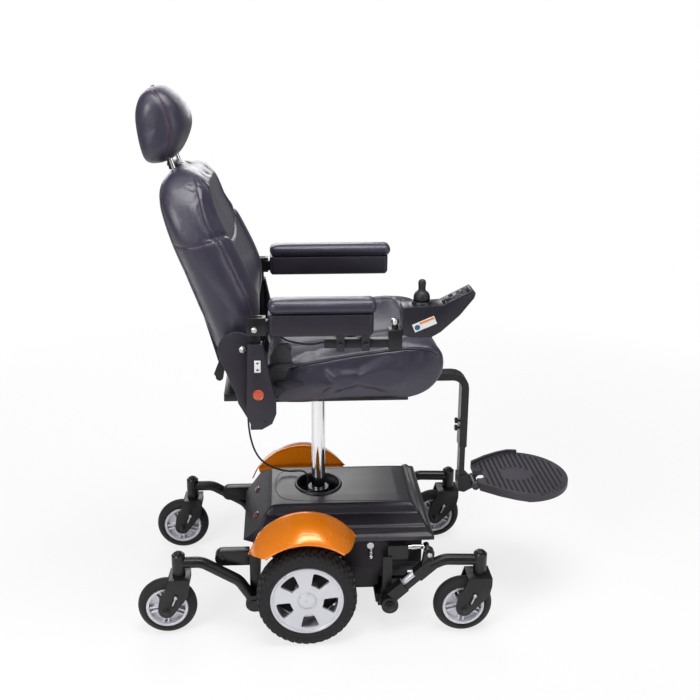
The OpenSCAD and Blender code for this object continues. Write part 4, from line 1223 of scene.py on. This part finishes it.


# The joint between the deck and the removable cover over the batteries, and a thin dark strip
# along the ledge of each side
for side, way in SIDES:
    joint = [(-76, 34), (-62, 70), (-30, 86), (20, 92), (90, 93), (170, 96), (256, 99),
             (280, 98)]
    pts = spline([Vector((x, y * way, 0)) for x, y in joint], 10)
    joint_line("deck_joint_" + side, [on_deck(p.x, p.y, 0.25) for p in pts], 0.0016)
    ledge = [on_deck(x, 176 * way, 0.3) for x in range(112, 322, 6)]
    joint_line("ledge_joint_" + side, ledge, 0.0014)
joint_line("deck_joint_rear", [on_deck(-76, y, 0.25) for y in range(-34, 35, 4)], 0.0016)

# Red lamps on the rear slope of the shroud
slope = math.atan2(286 - 214, -99 + 162)
out = Vector((-math.sin(slope), 0, math.cos(slope)))
along = Vector((math.cos(slope), 0, math.sin(slope)))


def squarish(a, power):
    """The cosine and sine of a rounded square in place of a circle."""
    c, s = math.cos(a), math.sin(a)
    return math.copysign(abs(c) ** power, c), math.copysign(abs(s) ** power, s)


for side, way in SIDES:
    centre = on_deck(-129, 70 * way, 0)
    rings = []
    for lift, size in ((-0.004, 1), (0.0015, 1), (0.003, 0.86), (0.0038, 0.5), (0.004, 0.05)):
        rings.append([centre + out * lift + along * 0.009 * size * c
                      + Vector((0, 0.013 * size * s, 0))
                      for c, s in (squarish(a, 0.6) for a in around(32))])
    lamp = loft("rear_lamp_" + side, rings, LAMP)
    tidy_mesh(lamp)
    settle(lamp, "base", "shroud_plastic")

# ---------------------------------------------------------------- CAD shapes, edges rounded

ROUNDED = {  # width of the rounding, in mm
    "battery_box": 3.0, "side_cover_right": 2.4, "side_cover_left": 2.4,
    "recline_covers": 2.0, "arm_shell_right": 1.0, "arm_shell_left": 1.0,
    "arm_bracket_right": 1.2, "arm_bracket_left": 1.2, "controller_mount": 1.6,
    "controller_body": 2.6, "seat_frame": 1.0, "rear_struts": 2.2,
}
for end in ("front", "rear"):
    for side in ("right", "left"):
        ROUNDED["%s_fork_%s" % (end, side)] = 1.4
for node, width in ROUNDED.items():
    softened(node, width)

# ---------------------------------------------------------------- details on the seat


def disc(name, centre, direction, profile, finish, body, slot):
    """A round trim piece turned about an axis: profile is (radius, lift) in mm."""
    out, side, up = square_frame(direction)
    rings = [[centre + (out * lift + (side * math.cos(a) + up * math.sin(a)) * radius) / 1000
              for a in around(40)] for radius, lift in profile]
    return settle(finished(loft(name, rings, finish), 40), body, slot)


def plate(name, outline, y0, y1, finish, body, slot, edge=0.6):
    """A flat piece from an (x, z) outline between two distances from the middle."""
    y0, y1 = sorted((y0, y1))
    shape = bmesh.new()
    low = [shape.verts.new(at(x, y0, z)) for x, z in outline]
    high = [shape.verts.new(at(x, y1, z)) for x, z in outline]
    shape.faces.new(low)
    shape.faces.new(high[::-1])
    for k in range(len(outline)):
        n = (k + 1) % len(outline)
        shape.faces.new((low[n], low[k], high[k], high[n]))
    bmesh.ops.recalc_face_normals(shape, faces=shape.faces)
    if edge:
        bmesh.ops.bevel(shape, geom=shape.edges[:], offset=edge / 1000, segments=2,
                        profile=0.5, affect="EDGES", clamp_overlap=True)
    return settle(sharp_shading(shape_object(name, shape, finish), 30), body, slot)


COVER_Y = 299  # outer face of the side covers

for side, way in SIDES:
    face = Vector((0, way, 0))
    disc("side_reflector_" + side, at(-111, COVER_Y * way, 690), face,
         [(13, -2), (13, 1.2), (12.2, 2.2), (10.5, 2.4), (9.8, 1.9), (5, 2.5), (0.05, 2.7)],
         REFLECTOR, "seat", "switch_plastic")
    # slot screws at the foot and the head of the side cover
    for x, z in ((-119, 800), (-98, 622)):
        disc("cover_screw_%s_%d" % (side, z), at(x, COVER_Y * way, z), face,
             [(3.6, -1), (3.6, 0.6), (2.8, 1.2), (1.6, 1.3), (1.5, 0.5), (0.05, 0.5)], PAINT,
             "seat", "frame_paint")

# Rocker switch: bezel and two-tone key
plate("rocker_bezel", [(-122.5, 742.5), (-101.5, 742.5), (-101.5, 778.5), (-122.5, 778.5)],
      -299.1, -299.9, CONTROL, "seat", "controller_plastic", 0.3)
plate("rocker_key", [(-119.4, 746), (-104.6, 746), (-104.6, 775), (-119.4, 775)], -294,
      -301, WHITE, "lift_rocker", "switch_plastic", 0.8)
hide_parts("lift_rocker")
for z, tilt in ((753, 1), (768, -1)):
    arrow = [(-116, z - 2.5 * tilt), (-108, z - 2.5 * tilt), (-112, z + 3 * tilt)]
    plate("rocker_mark_%d" % z, arrow, -300.9, -301.2, SEAM_AND_SHADE, "lift_rocker",
          "controller_plastic", 0)

# Belt: a folded flap, a hanging strap and a tongue on each side
for side, way in SIDES:
    drop = 0 if way < 0 else 62
    strap = [(-98, 668), (-90, 724 - drop / 2), (-76, 780 - drop), (-64, 798 - drop),
             (-40, 799 - drop), (-32, 786 - drop), (-40, 742 - drop), (-52, 700 - drop / 2),
             (-60, 664)]
    outer = plate("belt_strap_" + side, strap, 244.2 * way, 246.4 * way, WEBBING, "seat",
                  "webbing", 0.7)
    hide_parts("seat_belt")
    flap = [(x, z - drop) for x, z in (
        (-82, 730), (-84, 766), (-72, 790), (-46, 792), (-34, 770), (-30, 746), (-44, 730))]
    plate("belt_flap_" + side, flap, 247 * way, 251 * way, WEBBING, "seat", "webbing", 1)
    plate("belt_keeper_" + side, [(x, z - drop) for x, z in (
        (-88, 738), (-88, 748), (-28, 752), (-28, 742))], 251.4 * way,
          253.6 * way, TRIM, "seat", "trim_plastic", 0.8)
    tongue = [(x, z - drop * 0.45) for x, z in (
        (-74, 690), (-72, 704), (-34, 707), (-8, 702), (-4, 694), (-10, 687), (-38, 686))]
    plate("belt_tongue_" + side, tongue, 246.8 * way, 253 * way, TRIM, "seat",
          "trim_plastic", 1.4)
    for part, top, inner in (("tab_", 668, 241.2), ("foot_", 625.8, 190)):
        plate("belt_" + part + side, [(-98, 622), (-78, 622), (-78, top), (-98, top)],
              inner * way, 244 * way, PAINT, "seat", "frame_paint", 0.6)

# Clamp of the headrest on top of the backrest
clamp = rounded_box("headrest_clamp", (-326, -40, 1176), (-299, 40, 1191), 4, TRIM, 4)
settle(clamp, "backrest", "trim_plastic")
knob = [(0.05, 0), (8, 0), (9, 1.5), (9, 9), (7.5, 11), (0.05, 11.5)]
disc("headrest_knob", at(-325, 24, 1184), (-1, 0, 0.1), knob, TRIM, "backrest",
     "trim_plastic")

# Knobs of the footrest hanger
for z in (483, 462):
    disc("hanger_knob_%d" % z, at(422, 0, z), (-1, 0, 0),
         [(3.2, 0), (3.2, 4), (7.5, 4.6), (8.2, 6), (8.2, 10), (7, 11.4), (0.05, 12)], TRIM,
         "seat", "trim_plastic")
disc("hanger_stud", at(442, 0, 483), (1, 0, 0), [(4, 0), (4, 1.6), (3, 2.4), (0.05, 2.6)],
     STEEL, "seat", "lever_steel")

# Painted shade: dark sheets on the floors of the grooves between the ribs of the footplate
FOOT_Z, RIB_STEP, RIB_WIDE, FIRST_RIB = 320, 14, 7, 488
tread = skin_tree(frame["nodes"]["footplate"])


def on_rib(x, y):
    """Whether the footplate stands a rib's height above its floor there."""
    hit = tread.ray_cast(at(x, y, FOOT_Z + 30), Vector((0, 0, -1)))[0]
    return hit is not None and abs(hit.z * 1000 - FOOT_Z - 2) < 0.5


verts, faces = [], []
for i in range(16):
    x0 = FIRST_RIB + RIB_STEP * i + RIB_WIDE
    x1, start = x0 + RIB_STEP - RIB_WIDE, None
    for y in range(-126, 130, 2):
        inside = on_rib(x0 - 3.5, y) and on_rib(x1 + 3.5, y)
        if inside and start is None:
            start = y
        elif not inside and start is not None:
            base = len(verts)
            verts += [at(x, side_y, z) for z in (FOOT_Z - 0.2, FOOT_Z + 0.2)
                      for x, side_y in ((x0, start), (x1, start), (x1, y), (x0, y))]
            faces += [tuple(base + k for k in face) for face in (
                (0, 3, 2, 1), (4, 5, 6, 7), (0, 1, 5, 4), (1, 2, 6, 5), (2, 3, 7, 6),
                (3, 0, 4, 7))]
            start = None
settle(new_object("foot_groove_shade", verts, faces, SEAM_AND_SHADE, smooth=False), "footplate",
       "trim_plastic")

# ---------------------------------------------------------------- base details

LINK_LEAN = math.radians(42.6)  # of the damper, from level


def turned_axes(angle):
    """Two unit vectors in the side view: one turned up by angle, and one square to it."""
    c, s = math.cos(angle), math.sin(angle)
    return Vector((c, 0, s)), Vector((-s, 0, c))


for side, way in SIDES:
    # bright sleeve of the damper on the front arm
    along, across = turned_axes(LINK_LEAN)
    foot = at(214, 228 * way, 78) + across * 0.021
    sleeve = [foot + along * t / 1000 for t in (64.5, 78, 91, 104.5)]
    settle(tube("damper_sleeve_" + side, sleeve, 0.0078, SILVER, 24), "front_arm_" + side,
           "lever_steel")
    plate("box_latch_" + side, [(206, 232), (216, 232), (216, 190), (206, 190)],
          184 * way, 187 * way, BOX, "base", "box_plastic", 1)
    for k in range(3):
        z = 214 - 20 * k
        plate("box_rib_%s_%d" % (side, k), [(222, z), (292, z), (292, z - 3), (222, z - 3)],
              183.8 * way, 185.4 * way, BOX, "base", "box_plastic", 0.6)
    # silver ball of the freewheel lever
    ball = [(0.05, 6.4)] + [(6.4 * math.cos(math.radians(a)), 6.4 * math.sin(math.radians(a)))
                            for a in range(75, -76, -15)] + [(0.05, -6.4)]
    settle(lathe("freewheel_ball_" + side, ball, at(168, 191 * way, 192), CHROME, "Z", 40),
           "freewheel_" + side, "lever_steel")


def caster_rim(end, side, x, y):
    """A cast rim: ring, hub, thin web with five slots, and a pair of ribs at each slot."""
    centre = at(x, y, CASTER_R)
    web = lathe("web", [(12, -4), (48, -4), (48, 4), (12, 4)], centre, SILVER, "Y", 80)

    def spoke_blocks(size, reach, offsets):
        """One block for each slot and offset, turned to point outwards."""
        blocks = bmesh.new()
        for i in range(5):
            out, across = turned_axes(math.radians(72 * i - 24))
            turn = Matrix((out, Vector((0, 1, 0)), across)).transposed().to_4x4()
            for offset in offsets:
                made = bmesh.ops.create_cube(blocks, size=1)
                bmesh.ops.scale(blocks, verts=made["verts"], vec=size)
                place = centre + out * reach + across * offset / 1000
                bmesh.ops.transform(blocks, verts=made["verts"],
                                    matrix=Matrix.Translation(place) @ turn)
        return blocks

    cut_away(web, shape_object("slots", spoke_blocks((0.022, 0.03, 0.007), 0.031, (0,))))
    ring = [(46, -14), (47, -16.6), (53, -17), (54.5, -15.6), (54.5, 15.6), (53, 17),
            (47, 16.6), (46, 14)]
    hub = [(5.1, -19.6), (12.5, -20), (14.5, -18), (15, 0), (14.5, 18), (12.5, 20),
           (5.1, 19.6)]
    parts = [web, lathe("ring", ring, centre, SILVER, "Y", 96),
             lathe("hub", hub, centre, SILVER, "Y", 48)]
    ribs = spoke_blocks((0.035, 0.026, 0.0046), 0.0305, (-5.9, 5.9))
    bmesh.ops.bevel(ribs, geom=ribs.edges[:], offset=0.0009, segments=2, profile=0.5,
                    affect="EDGES")
    parts.append(shape_object("ribs", ribs, SILVER))
    name = "%s_caster_%s" % (end, side)
    rim = join(name + "_rim", parts)
    sharp_shading(rim, 35)
    settle(rim, name, "wheel_silver", "%s_caster_rim_%s" % (end, side))


for side, way in SIDES:
    for end, x, y in CASTERS:
        caster_rim(end, side, x, y * way)
        # lock pin in its slot on each leg of the fork; the slot is a dark tube of painted
        # shade
        for face in (-1, 1):
            leg = y * way + face * 30.4
            low, high = at(x + 14, leg, 88), at(x + 25, leg, 116)
            body = "%s_fork_%s" % (end, side)
            tag = "%s_%s" % (body, "out" if face > 0 else "in")
            slot_shade_path = [low.lerp(high, k / 6) for k in range(7)]
            settle(tube("pin_slot_" + tag, slot_shade_path, 0.0048, SEAM_AND_SHADE, 16), body,
                   "frame_paint")
            pin = [low.lerp(high, 0.2 + 0.7 * k / 4) + Vector((0, face * 0.0045, 0))
                   for k in range(5)]
            settle(tube("lock_pin_" + tag, pin, 0.0022, STEEL, 12), body, "lever_steel")
            disc("lock_head_" + tag, high + Vector((0, face * 0.003, 0)), (0, face, 0),
                 [(4.6, 0), (4.6, 2.4), (3.8, 3.4), (0.05, 3.7)], STEEL, body,
                 "lever_steel")

# ---------------------------------------------------------------- controller

CONTROLLER_Y = -274
KEY_SLOPE = math.radians(26.9)
STICK = at(266, CONTROLLER_Y, 912)  # where the joystick pivots


def on_keys(up, across, lift=0.0):
    """A point on the controller's sloping face: mm up the slope, across it and off it."""
    c, s = math.cos(KEY_SLOPE), math.sin(KEY_SLOPE)
    return at(311 + up * c - lift * s, CONTROLLER_Y + across, 902 + up * s + lift * c)


def key_pad(name, up, across, length, width, height, finish):
    """A domed key with rounded corners on the sloping face."""
    rings = []
    for lift, shrink in ((-0.5, 0), (height * 0.6, 0), (height * 0.9, 0.5),
                         (height, 1.4), (height * 1.02, 3)):
        rings.append([on_keys(up + max(length / 2 - shrink, 0.2) * c,
                              across + max(width / 2 - shrink, 0.2) * s, lift)
                      for c, s in (squarish(a, 0.45) for a in around(32))])
    settle(finished(loft(name, rings, finish), 50), "controller", "controller_plastic")


panel = [[on_keys(u, a, lift) for u, a in ((2, -22), (70, -22), (70, 22), (2, 22))]
         for lift in (-0.5, 0.15)]
settle(loft("key_panel", panel, CONTROL), "controller", "controller_plastic")
for k, (up, across) in enumerate(((44, -13), (44, 0), (44, 13), (58, -13), (58, 0), (58, 13))):
    key_pad("pad_key_%d" % k, up, across, 8, 9, 1.5, RUBBER)
for k in range(5):
    key_pad("pad_light_%d" % k, 10, -14 + 7 * k, 3, 4.2, 0.8,
            LAMP if k == 0 else RUBBER)
for name, across in (("power", -12), ("horn", 12)):
    rings = [[on_keys(26 + radius * math.cos(a), across + radius * math.sin(a), lift)
              for a in around(32)]
             for lift, radius in ((-3.5, 4.8), (2.2, 4.8), (2.8, 4.3), (3.0, 3.2), (2.9, 0.1))]
    settle(finished(loft(name + "_key", rings, RUBBER), 50), name + "_button",
           "soft_rubber", name + "_button")

# Blank sticker with a colour band on the side of the controller
TILT = math.radians(23)


def sticker(u, w):
    """A point of the sticker, in x and z, from its lower rear corner."""
    c, s = math.cos(TILT), math.sin(TILT)
    return (249 + u * c - w * s, 838 + u * s + w * c)


plate("label_film", [sticker(0, 0), sticker(54, 0), sticker(54, 20), sticker(0, 20)],
      -301.1, -301.4, LABEL, "controller", "switch_plastic", 0)
plate("label_band", [sticker(17, 13), sticker(52, 13), sticker(52, 18), sticker(17, 18)],
      -301.4, -301.6, BAND, "controller", "switch_plastic", 0)
disc("label_dot", at(sticker(9, 9)[0], -301.1, sticker(9, 9)[1]), (0, -1, 0),
     [(6.4, 0), (6.4, 0.45), (4.6, 0.5), (4.5, 0.32), (0.05, 0.32)], BLUE, "controller",
     "switch_plastic")

# Joystick: a domed boot, neck and knob, turned about its upright
boot = [(0.05, 908.2), (18.6, 908.2), (19, 912), (18.8, 916.4), (17.9, 920.2),
        (16.2, 923.8), (13.6, 926.8), (10.6, 929), (8.6, 931.6), (8.2, 935), (8.4, 940),
        (8.9, 945), (8.9, 949), (7.9, 953.2), (5.2, 955.8), (0.05, 956.5)]
stick = lathe("joystick_boot", [(r, z - 912) for r, z in boot], STICK, RUBBER, "Z", 64)
settle(stick, "joystick", "soft_rubber", "joystick")
base_ring = [(19.5, 899), (22, 899), (22.4, 903.6), (21.6, 905.8), (20.4, 906.6),
             (19.5, 906)]
settle(lathe("joystick_ring", [(r, z - 912) for r, z in base_ring], STICK, CONTROL, "Z",
             64), "controller", "controller_plastic")

# Chrome thumb knob of the controller's rail, and screws under the arm
disc("rail_knob", at(205, -281, 852), (0, 0, 1),
     [(6, 0), (6, 3), (9, 3.4), (9, 12), (7.6, 13.6), (0.05, 14)], CHROME, "controller",
     "chrome_steel")
for x in (79, 137):
    disc("clamp_screw_%d" % x, at(x, -297, 806), (0, -1, 0),
         [(3, -1), (3, 3), (6.5, 3.4), (7, 5), (7, 8), (5.5, 9.2), (0.05, 9.4)], TRIM,
         "armrest_right", "trim_plastic")

low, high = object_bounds()
